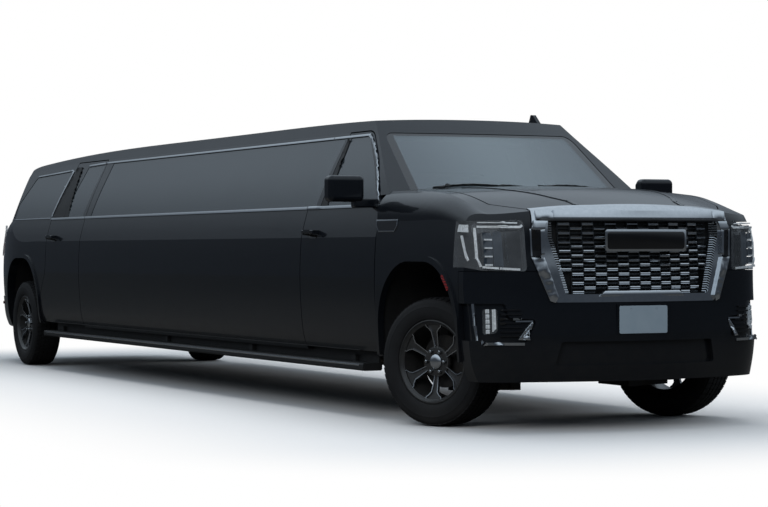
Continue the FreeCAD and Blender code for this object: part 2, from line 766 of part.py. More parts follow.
GRILLE_TOP = 1400
grille_outer = [
    (-676, GRILLE_TOP, 0),
    (-690, 1225, 20),
    (-560, 778, 24),
    (560, 778, 24),
    (690, 1225, 20),
    (676, GRILLE_TOP, 0),
]
grille_inner = [
    (-596, 1262, 16),
    (-600, 1170, 30),
    (-500, 826, 20),
    (500, 826, 20),
    (600, 1170, 30),
    (596, 1262, 16),
]
GRILLE_BACK = FRONT + 640
hood_plan = [
    (FRONT - 440, -850, 30),
    (FRONT - 385, -420, 900),
    (FRONT - 385, 420, 900),
    (FRONT - 440, 850, 30),
    (FRONT + 560, 812, 60),
    (FRONT + 786, 676, 60),
    (FRONT + 872, 300, 600),
    (FRONT + 872, -300, 600),
    (FRONT + 786, -676, 60),
    (FRONT + 560, -812, 60),
]
lamp_face = [
    (-s.half_width - 80, 1010, 0),
    (-s.half_width - 80, 1262, 0),
    (-735, 1268, 24),
    (-722, 962, 24),
    (-960, 968, 20),
]
LAMP_BACK = FRONT + 500
fog_face = [
    (-s.half_width - 80, 560, 0),
    (-s.half_width - 80, 772, 0),
    (-850, 772, 20),
    (-835, 690, 20),
    (-668, 676, 20),
    (-726, 546, 30),
    (-960, 546, 30),
]
FOG_BACK = FRONT + 560
SPLIT_Z = 965

COWL_HALF = 856
hood = NOSE_OUTER.common(plan_prism(hood_plan, 1100, TALL)).cut(NOSE_INNER)
hood = hood.common(block(FRONT - 540, NOSE, -WIDE, WIDE, 1235, TALL))
piece("hood", hood)

hood_clear = plan_prism(offset_corners(hood_plan, s.door_gap), 1100, TALL)
lip_front = nose(-s.arch_lip_rise).common(arch_lip_ring(FRONT)).cut(NOSE_INNER)
lip_front = lip_front.common(block(FRONT - 592, FRONT + 566, -WIDE, 0, s.sill_height + 10, TALL))
fender = NOSE_OUTER.common(block(DOOR_FRONT + s.door_gap / 2, FRONT + 900, -WIDE, 0, s.sill_height, TALL))
fender = fender.cut(NOSE_INNER).fuse(lip_front)
fender = fender.cut(side_prism(arch_corners(FRONT, 0), -1)).cut(hood_clear)
fender = fender.cut(block(FRONT + 568, NOSE, -WIDE, 0, 0, SPLIT_Z))
fender = fender.cut(front_prism(offset_corners(lamp_face, s.seat_clearance), LAMP_BACK, NOSE + 100))
fender = fender.cut(front_prism(offset_corners(grille_outer, s.panel_gap), GRILLE_BACK, NOSE + 100))
fender = fender.cut(block(FRONT - 760, FRONT - 370, -COWL_HALF, 0, 0, TALL))
piece("front_fenders", Part.makeCompound([fender, mirrored(fender)]))

LAMP_INNER = nose(90)
headlamp = NOSE_OUTER.common(front_prism(lamp_face, LAMP_BACK + s.seat_clearance, NOSE + 100)).cut(LAMP_INNER)
headlamp = headlamp.cut(hood_clear)
fog_lamp_face = [(-950, 585, 14), (-950, 740, 14), (-880, 740, 14), (-880, 600, 30)]
fog_lamp = NOSE_INNER.common(front_prism(fog_lamp_face, FOG_BACK, NOSE + 100)).cut(LAMP_INNER)
piece("headlamps", Part.makeCompound([headlamp, mirrored(headlamp)]))

SURROUND_INNER = nose(60)
surround = nose(-6).common(front_prism(grille_outer, GRILLE_BACK, NOSE + 100))
surround = surround.cut(front_prism(grille_inner, GRILLE_BACK, NOSE + 100))
surround = surround.cut(SURROUND_INNER).cut(hood_clear)
piece("grille_surround", surround)

MESH_PITCH_Y = 72
MESH_PITCH_Z = 29
MESH_BAR = 9
MESH_DEPTH = 22
GRILLE_BOW = 2160
MESH_FOOT = 826
MESH_TOP = 1262


def bowed_bar(z, height, front_x, depth, half):
    """A bar across the grille that follows the nose's bow in plan."""
    drop = GRILLE_BOW - math.sqrt(GRILLE_BOW ** 2 - half ** 2)
    edges = []
    for offset in (0, -depth):
        left = Vector(front_x + offset - drop, -half, z)
        tip = Vector(front_x + offset, 0, z)
        right = Vector(front_x + offset - drop, half, z)
        edges.append((left, tip, right))
    (a, b, c), (d, e, f) = edges
    wire = Part.Wire([
        Part.Arc(a, b, c).toShape(),
        Part.LineSegment(c, f).toShape(),
        Part.Arc(f, e, d).toShape(),
        Part.LineSegment(d, a).toShape(),
    ])
    return Part.Face(wire).extrude(Vector(0, 0, height))


def mesh_half(z):
    """Half the width of the grille's opening at a height."""
    return min(500 + (z - MESH_FOOT) / (1170 - MESH_FOOT) * 100, 596)


def mesh_front(z):
    """How far forward the mesh stands at a height; it leans back like the nose."""
    return NOSE - 30 - 34 * max(0, (z - 760) / 500) ** 1.5


def mesh_row(index, rows):
    """One bar of the mesh with the short ties that stand on it, staggered from row to row."""
    z = MESH_FOOT + index * MESH_PITCH_Z
    half = mesh_half(z) - s.seat_clearance - (16 if index == 0 else 0)
    front = mesh_front(z)
    row_shape = bowed_bar(z, MESH_BAR, front, MESH_DEPTH, half)
    if index == rows - 1:
        return row_shape
    height = MESH_PITCH_Z - s.seat_clearance
    shift = 0.5 * MESH_PITCH_Y * (index % 2)
    count = int((half - shift) / MESH_PITCH_Y)
    for column in range(-count - 1, count + 1):
        y = column * MESH_PITCH_Y + shift
        if abs(y) > half - 20:
            continue
        x = front - GRILLE_BOW + math.sqrt(GRILLE_BOW ** 2 - y ** 2)
        tie = Part.makeBox(MESH_DEPTH - 6, MESH_BAR, height, Vector(x - MESH_DEPTH + 2, y - MESH_BAR / 2, z))
        row_shape = row_shape.fuse(tie)
    return row_shape


mesh_rows = int((MESH_TOP - MESH_FOOT) / MESH_PITCH_Z)
mesh = [mesh_row(index, mesh_rows) for index in range(mesh_rows)]
backing = front_prism(offset_corners(grille_inner, -1), GRILLE_BACK, NOSE)
backing_bow = bowed_bar(700, 700, NOSE - 87, 24, 640)
backing = backing_bow.common(backing)
piece("grille_mesh", Part.makeCompound(mesh + [backing]))

intake_face = [(-560, 404, 16), (-525, 545, 16), (525, 545, 16), (560, 404, 16)]
CHIN_Z = s.sill_height - s.chin_drop
bumper_space = block(FRONT + 568 + s.panel_gap, NOSE + 100, -WIDE, WIDE, CHIN_Z, SPLIT_Z - s.panel_gap)
PLATE_X = NOSE - 4
bumper = NOSE_OUTER.common(bumper_space).cut(SURROUND_INNER)
for arch_side in (-1, 1):
    bumper = bumper.cut(side_prism(arch_corners(FRONT, 4), arch_side))
bumper = bumper.cut(front_prism(offset_corners(grille_outer, s.seat_clearance), FRONT + 500, NOSE + 100))
lamp_block = front_prism(offset_corners(lamp_face, s.seat_clearance), FRONT + 500, NOSE + 100)
bumper = bumper.cut(lamp_block).cut(mirrored(lamp_block))
fog_block = front_prism(fog_face, FOG_BACK, NOSE + 100)
fog_pocket = fog_block.cut(NOSE_INNER)
bumper = bumper.cut(fog_pocket).cut(mirrored(fog_pocket))
fog_seat = front_prism(offset_corners(fog_lamp_face, s.seat_clearance), FOG_BACK, NOSE + 100)
bumper = bumper.cut(fog_seat).cut(mirrored(fog_seat))
intake = front_prism(intake_face, FRONT + 500, NOSE + 100).cut(NOSE_INNER)
bumper = bumper.cut(intake)
plate_pad = block(NOSE - 40, PLATE_X, -182, 182, 590, 764)
bumper = bumper.fuse(plate_pad)
for hole_y in (-s.plate_hole_spacing / 2, s.plate_hole_spacing / 2):
    hole = Part.makeCylinder(s.plate_hole_radius, 30, Vector(PLATE_X - 29, hole_y, 735), Vector(1, 0, 0))
    bumper = bumper.cut(hole)
piece("front_bumper", bumper)
piece("fog_lamps", Part.makeCompound([fog_lamp, mirrored(fog_lamp)]))


# Mirrors, carried on the front doors just behind the hinge line

def mirror_right():
    """A door mirror: rounded shell on a short flat arm."""
    shell = Part.makeBox(112, 252, 172, Vector(FRONT - 796, -1304, 1402))
    shell = shell.makeFillet(34, shell.Edges)
    arm = Part.makeBox(70, 190, 60, Vector(FRONT - 768, -1120, s.belt_height - 12))
    arm = arm.makeFillet(12, arm.Edges)
    body = shell.fuse(arm)
    return body.cut(cabin(-s.seat_clearance))


right_mirror = mirror_right()
piece("mirror_right", right_mirror)
piece("mirror_left", mirrored(right_mirror))

# Cowl between the bonnet and the windscreen

cowl_half = COWL_HALF - s.seat_clearance
cowl_front = FRONT - 370 - s.seat_clearance
cowl = NOSE_OUTER.common(block(DOOR_FRONT, cowl_front, -cowl_half, cowl_half, s.belt_height - 40, TALL))
cowl = cowl.cut(NOSE_INNER).cut(hood_clear).cut(screen_solid(-s.seat_clearance))
piece("cowl", cowl)

# Cabin structure: floor, sills, pillars, wheel houses and firewall behind the skin

STRUCTURE = s.wall_thickness + 2 * s.seat_clearance
INNER_SKIN = cabin(STRUCTURE)
POST_INNER = cabin(STRUCTURE + 60)
STEP_X = REAR + 760
FLOOR_TOP = s.floor_height + s.floor_thickness
REAR_FLOOR_TOP = s.rear_floor_height + s.floor_thickness
LINER_OUT = s.liner_gap + s.liner_thickness
FIREWALL_HALF = 820

main_floor = block(STEP_X, FRONT - 620, -WIDE, WIDE, s.floor_height, FLOOR_TOP)
step_back = STEP_X - s.floor_thickness
floor_step = block(step_back, STEP_X - s.seat_clearance, -WIDE, WIDE, s.floor_height, REAR_FLOOR_TOP)
HOUSE_Y = 640
HOUSE_REACH = s.arch_radius + LINER_OUT + 12
REAR_FLOOR_FRONT = step_back - s.seat_clearance
floor_pieces = [
    main_floor,
    floor_step,
    block(TAIL + 100, REAR_FLOOR_FRONT, -HOUSE_Y, HOUSE_Y, s.rear_floor_height, REAR_FLOOR_TOP),
]
SIDE_FLOOR_Y = HOUSE_Y + s.seat_clearance
for x_from, x_to in ((TAIL + 100, REAR - HOUSE_REACH), (REAR + HOUSE_REACH, REAR_FLOOR_FRONT)):
    side_floor = block(x_from, x_to, -WIDE, -SIDE_FLOOR_Y, s.rear_floor_height, REAR_FLOOR_TOP)
    floor_pieces += [side_floor, mirrored(side_floor)]
SILL_INNER_Y = 870
SILL_FOOT = s.floor_height - 60
sill = block(REAR + 620, FRONT - 620, -WIDE, -SILL_INNER_Y, SILL_FOOT, s.floor_height - s.seat_clearance)
floor_pieces += [sill, mirrored(sill)]
structure = [flat.common(INNER_SKIN) for flat in floor_pieces]


def post(x_from, x_to, z_from, z_to):
    """A right-hand pillar behind the skin, between two x values."""
    ring = INNER_SKIN.cut(POST_INNER)
    return ring.common(block(x_from, x_to, -WIDE, -ROOF_EDGE_Y + 40, z_from, z_to))


POST_FOOT = FLOOR_TOP + s.seat_clearance
POST_TOP = DOOR_HEAD - 20
first_post = post(FRONT - 690, FRONT - 622, POST_FOOT, s.belt_height - 20)
middle_post = post(DOOR_REAR - 70, DOOR_REAR + 70, POST_FOOT, s.belt_height - 10)
middle_post = middle_post.fuse(post(DOOR_REAR - 70, POST_HEAD_X, s.belt_height - 90, s.belt_height - 10))
middle_post = middle_post.fuse(post(POST_FOOT_X - 70, POST_HEAD_X + 14, s.belt_height - 90, POST_TOP))
third_post = post(BACK_DOOR_FRONT - 70, BACK_DOOR_FRONT + 70, POST_FOOT, POST_TOP)
last_post = post(BACK_DOOR_REAR + 50, BACK_DOOR_REAR + 180, s.belt_height - 60, POST_TOP)
for one_post in (first_post, middle_post, third_post, last_post):
    structure += [one_post, mirrored(one_post)]
firewall_top = s.belt_height - 20
structure.append(block(FRONT - 640, FRONT - 616, -FIREWALL_HALF, FIREWALL_HALF, POST_FOOT, firewall_top))

tail_ring = front_prism(offset_corners(tailgate_face, 70), TAIL, TAILGATE_SEAM_X + 60)
tail_ring = tail_ring.cut(front_prism(offset_corners(tailgate_face, -34), TAIL - 10, TAILGATE_SEAM_X + 70))
tail_frame = INNER_SKIN.cut(cabin(STRUCTURE + 30)).common(tail_ring)
tail_foot = REAR_FLOOR_TOP + s.seat_clearance
structure.append(tail_frame.common(block(TAIL, TAILGATE_SEAM_X + 60, -WIDE, WIDE, tail_foot, TALL)))
piece("cabin_structure", Part.makeCompound(structure))


def liner(axle, inner_y, opening_top, skin):
    """The right-hand wheel arch liner: a tunnel behind the arch opening and its inner wall."""
    tunnel = side_prism(arch_corners(axle, LINER_OUT), -1)
    inside = side_prism(arch_corners(axle, s.liner_gap), -1)
    shell = tunnel.cut(inside).common(block(axle - 900, axle + 900, -WIDE, -inner_y, 440, TALL))
    foot = RAIL_TOP + s.seat_clearance
    wall = tunnel.common(block(axle - 900, axle + 900, -inner_y - s.liner_thickness, -inner_y, foot, TALL))
    wall = wall.cut(block(axle - 230, axle + 230, -WIDE, 0, 0, opening_top))
    rail_y = APRON_Y + s.liner_thickness + s.seat_clearance
    rail_space = block(axle - 900, axle + 900, -rail_y, 0, 0, foot)
    return shell.fuse(wall).common(skin).cut(rail_space)


RAIL_TOP = s.floor_height - s.seat_clearance
APRON_Y = s.frame_rail_spacing / 2 + s.frame_rail_width / 2 - s.liner_thickness
front_liner = liner(FRONT, APRON_Y, 610, nose(s.skin_thickness + s.seat_clearance))
rear_liner = liner(REAR, HOUSE_Y, 520, INNER_SKIN)
piece(
    "wheel_liners",
    Part.makeCompound([front_liner, mirrored(front_liner), rear_liner, mirrored(rear_liner)]),
)

# Radiator support, which carries the grille and stops the bonnet

support_skin = nose(s.skin_thickness + s.seat_clearance)
SUPPORT_BACK = FRONT + 500
SUPPORT_FRONT = FRONT + 556
support_half = APRON_Y - s.seat_clearance
support = block(SUPPORT_BACK, SUPPORT_FRONT, -support_half, support_half, RAIL_TOP + s.seat_clearance, 840)
support = support.fuse(block(SUPPORT_BACK, SUPPORT_FRONT, -700, 700, 840, 1200))
for side_sign in (-1, 1):
    stop = block(SUPPORT_BACK, SUPPORT_FRONT, 380 * side_sign - 40, 380 * side_sign + 40, 1190, TALL)
    support = support.fuse(stop.common(support_skin))
grille_stays = block(FRONT + 550, NOSE - 40, -330, 330, 1010, 1060).common(
    bowed_bar(1000, 100, NOSE - 111 - s.seat_clearance, 700, 640)
)
support = support.fuse(grille_stays)
piece("radiator_support", support)


# Frame: two rails that rise over the rear axle, with crossmembers, bumper brackets and lifting pads.
# It is spliced just ahead of the rise, so the flat part and the rising part are solids of their own.

RAIL_FOOT = RAIL_TOP - s.frame_rail_height
REAR_RAIL_TOP = s.rear_floor_height - s.seat_clearance
REAR_RAIL_FOOT = REAR_RAIL_TOP - s.frame_rail_height
KICK_LOW = REAR + 760 - 60
KICK_HIGH = REAR + 540
rail_side = [
    (NOSE - 240, RAIL_FOOT, 0),
    (NOSE - 240, RAIL_TOP, 0),
    (KICK_LOW + 20, RAIL_TOP, 0),
    (KICK_HIGH + 20, REAR_RAIL_TOP, 0),
    (TAIL + 180, REAR_RAIL_TOP, 0),
    (TAIL + 180, REAR_RAIL_FOOT, 0),
    (KICK_HIGH, REAR_RAIL_FOOT, 0),
    (KICK_LOW, RAIL_FOOT, 0),
]
rail = Part.Face(rounded_wire(rail_side, lambda p: Vector(p.x, 0, p.y)))
rail = rail.extrude(Vector(0, s.frame_rail_width, 0))
left_rail = rail.copy()
left_rail.translate(Vector(0, s.frame_rail_spacing / 2 - s.frame_rail_width / 2, 0))
frame = left_rail.fuse(mirrored(left_rail))
cross_half = s.frame_rail_spacing / 2
cross_x = [NOSE - 290, FRONT + 430, FRONT - 480]
CROSS_COUNT = 6
CROSS_FIRST = FRONT - 1500
CROSS_LAST = REAR + 900
cross_pitch = (CROSS_FIRST - CROSS_LAST) / (CROSS_COUNT - 1)
cross_x += [CROSS_FIRST - i * cross_pitch for i in range(CROSS_COUNT)]
for x in cross_x:
    frame = frame.fuse(block(x - 40, x + 40, -cross_half, cross_half, RAIL_TOP - 55, RAIL_TOP))
for x in (REAR + 420, REAR - 420, TAIL + 240):
    frame = frame.fuse(block(x - 40, x + 40, -cross_half, cross_half, REAR_RAIL_TOP - 55, REAR_RAIL_TOP))
for side_sign in (-1, 1):
    bracket_y = side_sign * s.frame_rail_spacing / 2
    front_bracket = block(NOSE - 250, NOSE, bracket_y - 36, bracket_y + 36, RAIL_FOOT + 20, RAIL_TOP - 20)
    frame = frame.fuse(front_bracket.common(nose(60 + s.seat_clearance)))
    low, high = REAR_RAIL_FOOT + 20, REAR_RAIL_FOOT + 90
    rear_bracket = block(TAIL, TAIL + 190, bracket_y - 36, bracket_y + 36, low, high)
    frame = frame.fuse(rear_bracket.common(INNER_SKIN))
pad_spots = [(FRONT - 900, -1), (FRONT - 900, 1), (REAR + 1150, -1), (REAR + 1150, 1)]
for x, side in pad_spots:
    pad = Part.makeCylinder(s.jack_pad_radius, 30, Vector(x, side * s.frame_rail_spacing / 2, RAIL_FOOT - 29))
    frame = frame.fuse(pad)
SPLICE_X = KICK_LOW + 60
splice = block(SPLICE_X, SPLICE_X + s.seat_clearance, -WIDE, WIDE, 0, TALL)
piece("chassis_frame", frame.cut(splice))

# Wheels: tyre and rim in their own frames, axis along Y, then placed

TYRE_SHOULDER = 32
TYRE_SEAT_HALF = 60


def tyre_shape():
    """Tyre section turned about the wheel's axis: seat, bead above the flange, wall, shoulder and flat tread."""
    radius, half = s.tyre_radius, s.tyre_width / 2
    seat = s.rim_radius - 24 + s.seat_clearance
    flange = s.rim_radius + 4
    right = [
        (seat, TYRE_SEAT_HALF),
        (flange, s.rim_width / 2 + 2),
        (flange + 0.70 * (radius - flange), half),
        (radius, half - TYRE_SHOULDER),
    ]
    left = [(across, -along) for across, along in reversed(right)]
    section = Part.makePolygon([Vector(across, along, 0) for across, along in right + left + right[:1]])
    return Part.Face(section).revolve(Vector(0, 0, 0), Vector(0, 1, 0), 360)


def rim_shape():
    """Rim barrel with a dished face of six spokes; +Y is the outer side."""
    half = s.rim_width / 2
    seat = s.rim_radius - 24
    inner = seat - 14
    face_out = half - 22
    outline = [
        (s.hub_bore_radius, face_out - 60, 0),
        (s.hub_bore_radius, face_out - 10, 0),
        (92, face_out - 10, 6),
        (150, face_out - 30, 60),
        (inner - 6, face_out, 10),
        (s.rim_radius - 8, half, 3),
        (s.rim_radius, half - 4, 2),
        (s.rim_radius - 6, half - 14, 4),
        (seat, half - 16, 0),
        (seat, 16 - half, 0),
        (s.rim_radius - 4, 14 - half, 4),
        (s.rim_radius - 4, 4 - half, 2),
        (inner, 4 - half, 6),
        (inner, face_out - 40, 20),
        (150, face_out - 62, 60),
        (90, face_out - 60, 6),
    ]
    wire = rounded_wire(outline, lambda p: Vector(p.x, p.y, 0))
    rim = Part.Face(wire).revolve(Vector(0, 0, 0), Vector(0, 1, 0), 360)
    window = [
        (98, -13, 10),
        (150, -42, 30),
        (inner - 14, -66, 14),
        (inner - 8, 0, 60),
        (inner - 14, 66, 14),
        (150, 42, 30),
        (98, 13, 10),
    ]
    opening = Part.Face(rounded_wire(window, lambda p: Vector(p.x, -200, p.y))).extrude(Vector(0, 400, 0))
    slot = [(196, -9, 6), (inner - 16, -20, 10), (inner - 16, 20, 10), (196, 9, 6)]
    slot = Part.Face(rounded_wire(slot, lambda p: Vector(p.x, -200, p.y))).extrude(Vector(0, 400, 0))
    for i in range(6):
        turned = opening.copy()
        turned.rotate(Vector(0, 0, 0), Vector(0, 1, 0), 60 * i)
        rim = rim.cut(turned)
        notch = slot.copy()
        notch.rotate(Vector(0, 0, 0), Vector(0, 1, 0), 60 * i + 30)
        rim = rim.cut(notch)
    return rim


HUB_Z = s.tyre_radius
KINGPIN_Y = s.track_width / 2 - s.kingpin_offset


def wheel_placement(axle, side, steered):
    """Where a wheel's centre goes, with its outer face outboard; a front wheel turns about its kingpin."""
    facing = Rotation(Vector(0, 0, 1), 0 if side > 0 else 180)
    place = Placement(Vector(axle, side * s.track_width / 2, HUB_Z), facing)
    if steered:
        turn = Rotation(Vector(0, 0, 1), s.steer_angle)
        pivot = Vector(axle, side * KINGPIN_Y, HUB_Z)
        place = Placement(Vector(0, 0, 0), turn, pivot).multiply(place)
    return place


tyre_plain = tyre_shape()
rim_plain = rim_shape()
for axle_name, axle_x in (("front", FRONT), ("rear", REAR)):
    for side_name, side_sign in (("left", 1), ("right", -1)):
        where = wheel_placement(axle_x, side_sign, axle_name == "front")
        for kind, plain in (("tyre", tyre_plain), ("rim", rim_plain)):
            made = piece(f"{kind}_{axle_name}_{side_name}", plain)
            made.Placement = where


# Front knuckles, arms and the rear axle

def knuckle_shape(side):
    """Upright with its spindle, before the wheels are steered; the kingpin stands inside the rim."""
    upright = Part.makeCylinder(34, 300, Vector(FRONT, side * KINGPIN_Y, HUB_Z - 150))
    start = Vector(FRONT, side * KINGPIN_Y, HUB_Z)
    reach = s.kingpin_offset + s.rim_width / 2 - 40
    spindle = Part.makeCylinder(s.spindle_radius, reach, start, Vector(0, side, 0))
    disc_start = Vector(FRONT, side * (KINGPIN_Y + 62), HUB_Z)
    disc = Part.makeCylinder(165, 26, disc_start, Vector(0, side, 0))
    shape = upright.fuse(spindle).fuse(disc)
    shape.rotate(start, Vector(0, 0, 1), s.steer_angle)
    return shape


for side_name, side_sign in (("left", 1), ("right", -1)):
    piece(f"knuckle_{side_name}", knuckle_shape(side_sign))


def control_arm(side, z, inner_y):
    """A flat wishbone from the frame to the kingpin's end."""
    corners = [
        (FRONT - 26, side * (KINGPIN_Y + 26), 20),
        (FRONT + 26, side * (KINGPIN_Y + 26), 20),
        (FRONT + 190, side * inner_y, 10),
        (FRONT + 130, side * inner_y, 10),
        (FRONT, side * (KINGPIN_Y - 70), 20),
        (FRONT - 130, side * inner_y, 10),
        (FRONT - 190, side * inner_y, 10),
    ]
    return plan_prism(corners, z, z + 34)


RAIL_OUTER = s.frame_rail_spacing / 2 + s.frame_rail_width / 2
ARM_FOOT = HUB_Z - 150 - s.seat_clearance - 34
ARM_HEAD = HUB_Z + 150 + s.seat_clearance
arms = []
for side_sign in (-1, 1):
    lower = control_arm(side_sign, ARM_FOOT, RAIL_OUTER - 60)
    riser = block(FRONT - 190, FRONT + 190, -35, 35, ARM_FOOT, RAIL_FOOT - s.seat_clearance)
    riser.translate(Vector(0, side_sign * (RAIL_OUTER - 40), 0))
    upper = control_arm(side_sign, ARM_HEAD, RAIL_OUTER - 60)
    stand = block(FRONT - 190, FRONT + 190, -25, 25, RAIL_TOP + s.seat_clearance, ARM_HEAD + 34)
    stand.translate(Vector(0, side_sign * (RAIL_OUTER - 40), 0))
    arms += [lower.fuse(riser), upper.fuse(stand)]
piece("front_suspension", Part.makeCompound(arms))

BEAM_HALF = s.track_width / 2 - 90
REAR_SPINDLE = s.track_width / 2 + s.rim_width / 2 - 40
beam = Part.makeCylinder(45, 2 * BEAM_HALF, Vector(REAR, -BEAM_HALF, HUB_Z), Vector(0, 1, 0))
spindle_start = Vector(REAR, -REAR_SPINDLE, HUB_Z)
spindles = Part.makeCylinder(s.spindle_radius, 2 * REAR_SPINDLE, spindle_start, Vector(0, 1, 0))
differential = Part.makeSphere(150, Vector(REAR, 0, HUB_Z))
differential = differential.common(block(REAR - 150, REAR + 150, -120, 120, 0, TALL))
rear_axle = beam.fuse(spindles).fuse(differential)
for side_sign in (-1, 1):
    disc_start = Vector(REAR, side_sign * (s.track_width / 2 - 26) - 13, HUB_Z)
    rear_axle = rear_axle.fuse(Part.makeCylinder(165, 26, disc_start, Vector(0, 1, 0)))
piece("rear_axle", rear_axle)

SPRING_TOP = HUB_Z - 45 - s.seat_clearance
SPRING_THICK = 30
spring_side = [
    (REAR + 480, SPRING_TOP + 70, 0),
    (REAR + 150, SPRING_TOP, 300),
    (REAR - 150, SPRING_TOP, 300),
    (REAR - 560, SPRING_TOP + 90, 0),
    (REAR - 560, SPRING_TOP + 90 - SPRING_THICK, 0),
    (REAR - 150, SPRING_TOP - SPRING_THICK, 300),
    (REAR + 150, SPRING_TOP - SPRING_THICK, 300),
    (REAR + 480, SPRING_TOP + 70 - SPRING_THICK, 0),
]
spring = Part.Face(rounded_wire(spring_side, lambda p: Vector(p.x, 0, p.y))).extrude(Vector(0, 64, 0))
for x_from in (REAR + 440, REAR - 560):
    hanger = block(x_from, x_from + 40, 0, 64, SPRING_TOP + 60, REAR_RAIL_FOOT - s.seat_clearance)
    spring = spring.fuse(hanger)
spring.translate(Vector(0, s.frame_rail_spacing / 2 - 32, 0))
piece("rear_springs", Part.makeCompound([spring, mirrored(spring)]))


# Blocks whose sizes and places follow the sheet

def text_of(value):
    return value if isinstance(value, str) else repr(float(value))


def sheet_box(name, size, corner):
    """A box whose three sizes and low corner are expressions on the sheet."""
    box = doc.addObject("Part::Box", name)
    for path, value in zip(("Length", "Width", "Height"), size):
        box.setExpression(path, text_of(value))
    for path, value in zip(("Placement.Base.x", "Placement.Base.y", "Placement.Base.z"), corner):
        box.setExpression(path, text_of(value))
    return box


def sheet_cylinder(name, radius, length, start, axis):
    """A cylinder from a start point along an axis, bound to the sheet."""
    cylinder = doc.addObject("Part::Cylinder", name)
    cylinder.Placement = Placement(Vector(0, 0, 0), Rotation(Vector(0, 0, 1), Vector(*axis)))
    cylinder.setExpression("Radius", text_of(radius))
    cylinder.setExpression("Height", text_of(length))
    for path, value in zip(("Placement.Base.x", "Placement.Base.y", "Placement.Base.z"), start):
        cylinder.setExpression(path, text_of(value))
    return cylinder


def rounded(name, box, radius):
    """A box with all of its edges rounded."""
    fillet = doc.addObject("Part::Fillet", name)
    fillet.Base = box
    fillet.Edges = [(i + 1, radius, radius) for i in range(12)]
    return fillet


FRONT_X = "(sizes.wheelbase_length + sizes.tail_overhang - sizes.nose_overhang) / 2"
REAR_X = f"{FRONT_X} - sizes.wheelbase_length"
FLOOR_Z = "sizes.floor_height + sizes.floor_thickness + sizes.seat_clearance"

engine = sheet_box(
    "engine",
    ("sizes.engine_length", "sizes.engine_width", "sizes.engine_height"),
    (f"{FRONT_X} - sizes.engine_length / 2", "-sizes.engine_width / 2", 400),
)
gearbox = sheet_box(
    "gearbox",
    ("sizes.gearbox_length", 320, 190),
    (f"{FRONT_X} - sizes.engine_length / 2 - sizes.gearbox_length + 1", -160, 250),
)
BETWEEN_RAILS = "sizes.frame_rail_spacing - sizes.frame_rail_width"
engine_arms = sheet_box(
    "engine_arms",
    (120, f"{BETWEEN_RAILS} - 2 * sizes.seat_clearance", 60),
    (f"{FRONT_X} - 60", f"-({BETWEEN_RAILS}) / 2 + sizes.seat_clearance", 425),
)
joined("engine_block", [engine, gearbox, engine_arms])

tank_box = sheet_box(
    "tank_box",
    ("sizes.tank_length", "sizes.tank_width", "sizes.tank_depth"),
    (
        f"{REAR_X} + 1250",
        "(sizes.frame_rail_spacing + sizes.frame_rail_width) / 2 + sizes.seat_clearance",
        "sizes.floor_height - sizes.tank_depth - sizes.seat_clearance",
    ),
)
tank = rounded("fuel_tank", tank_box, 20)
tank.Label = "fuel_tank"
PIECES.append(tank)

SHAFT_Z = HUB_Z
shaft_end = REAR + 150 + s.seat_clearance
shaft_start = FRONT - s.engine_length / 2 - s.gearbox_length + 1 - s.seat_clearance
shaft_length = shaft_start - shaft_end
tube = sheet_cylinder("shaft_tube", "sizes.shaft_radius", shaft_length, (shaft_end, 0, SHAFT_Z), (1, 0, 0))
shaft_parts = [tube]
for i in range(CROSS_COUNT):
    x = CROSS_FIRST - i * cross_pitch
    if x < shaft_start - 60:
        bearing = sheet_box(
            f"shaft_bearing_{i + 1}",
            (60, 120, RAIL_TOP - 55 - s.seat_clearance - SHAFT_Z + 60),
            (x - 30, -60, SHAFT_Z - 60),
        )
        shaft_parts.append(bearing)
joined("propeller_shaft", shaft_parts)

PIPE_Y = -260
PIPE_Z = RAIL_TOP - 200
exhaust_tube = sheet_cylinder(
    "exhaust_tube", "sizes.pipe_radius", FRONT - 700 - TAIL - 60, (TAIL + 60, PIPE_Y, PIPE_Z), (1, 0, 0)
)
silencer = rounded(
    "silencer", sheet_box("silencer_box", (700, 240, 130), (REAR + 1400, PIPE_Y - 120, PIPE_Z - 65)), 40
)
exhaust_parts = [exhaust_tube, silencer]
for i, x in enumerate((CROSS_FIRST, CROSS_FIRST - 2 * cross_pitch, CROSS_FIRST - 4 * cross_pitch)):
    hanger_size = (16, 30, RAIL_TOP - 55 - s.seat_clearance - PIPE_Z)
    exhaust_parts.append(sheet_box(f"exhaust_hanger_{i + 1}", hanger_size, (x - 8, PIPE_Y - 15, PIPE_Z)))
joined("exhaust", exhaust_parts)

# Running boards on brackets from the frame

BOARD_FRONT = FRONT - 745
BOARD_REAR = REAR + 800
BOARD_Y = 975
SKIRT_IN = 68
boards = []
for side_sign in (-1, 1):
    board = block(BOARD_REAR, BOARD_FRONT, -70, 70, 306, 356)
    board = board.makeFillet(14, [e for e in board.Edges if e.Length > 1000])
    skirt = block(BOARD_REAR + 20, BOARD_FRONT - 20, -SKIRT_IN, 12 - SKIRT_IN, 340, s.floor_height - 64)
    skirt = skirt if side_sign > 0 else mirrored(skirt)
    board = board.fuse(skirt)
    board.translate(Vector(0, side_sign * BOARD_Y, 0))
    inner = s.frame_rail_spacing / 2 + s.frame_rail_width / 2 + s.seat_clearance
    for x in (FRONT - 1100, FRONT - 2900, FRONT - 4700, REAR + 1050):
        drop_y = side_sign * (BOARD_Y - 40)
        y_from = min(side_sign * inner, drop_y)
        y_to = max(side_sign * inner, drop_y)
        board = board.fuse(block(x - 30, x + 30, y_from, y_to, 374, 398))
        board = board.fuse(block(x - 30, x + 30, drop_y - 12, drop_y + 12, 340, 398))
    boards.append(board)
piece("running_boards", Part.makeCompound(boards))

# Interior: dashboard, steering wheel, seats, partition and counter

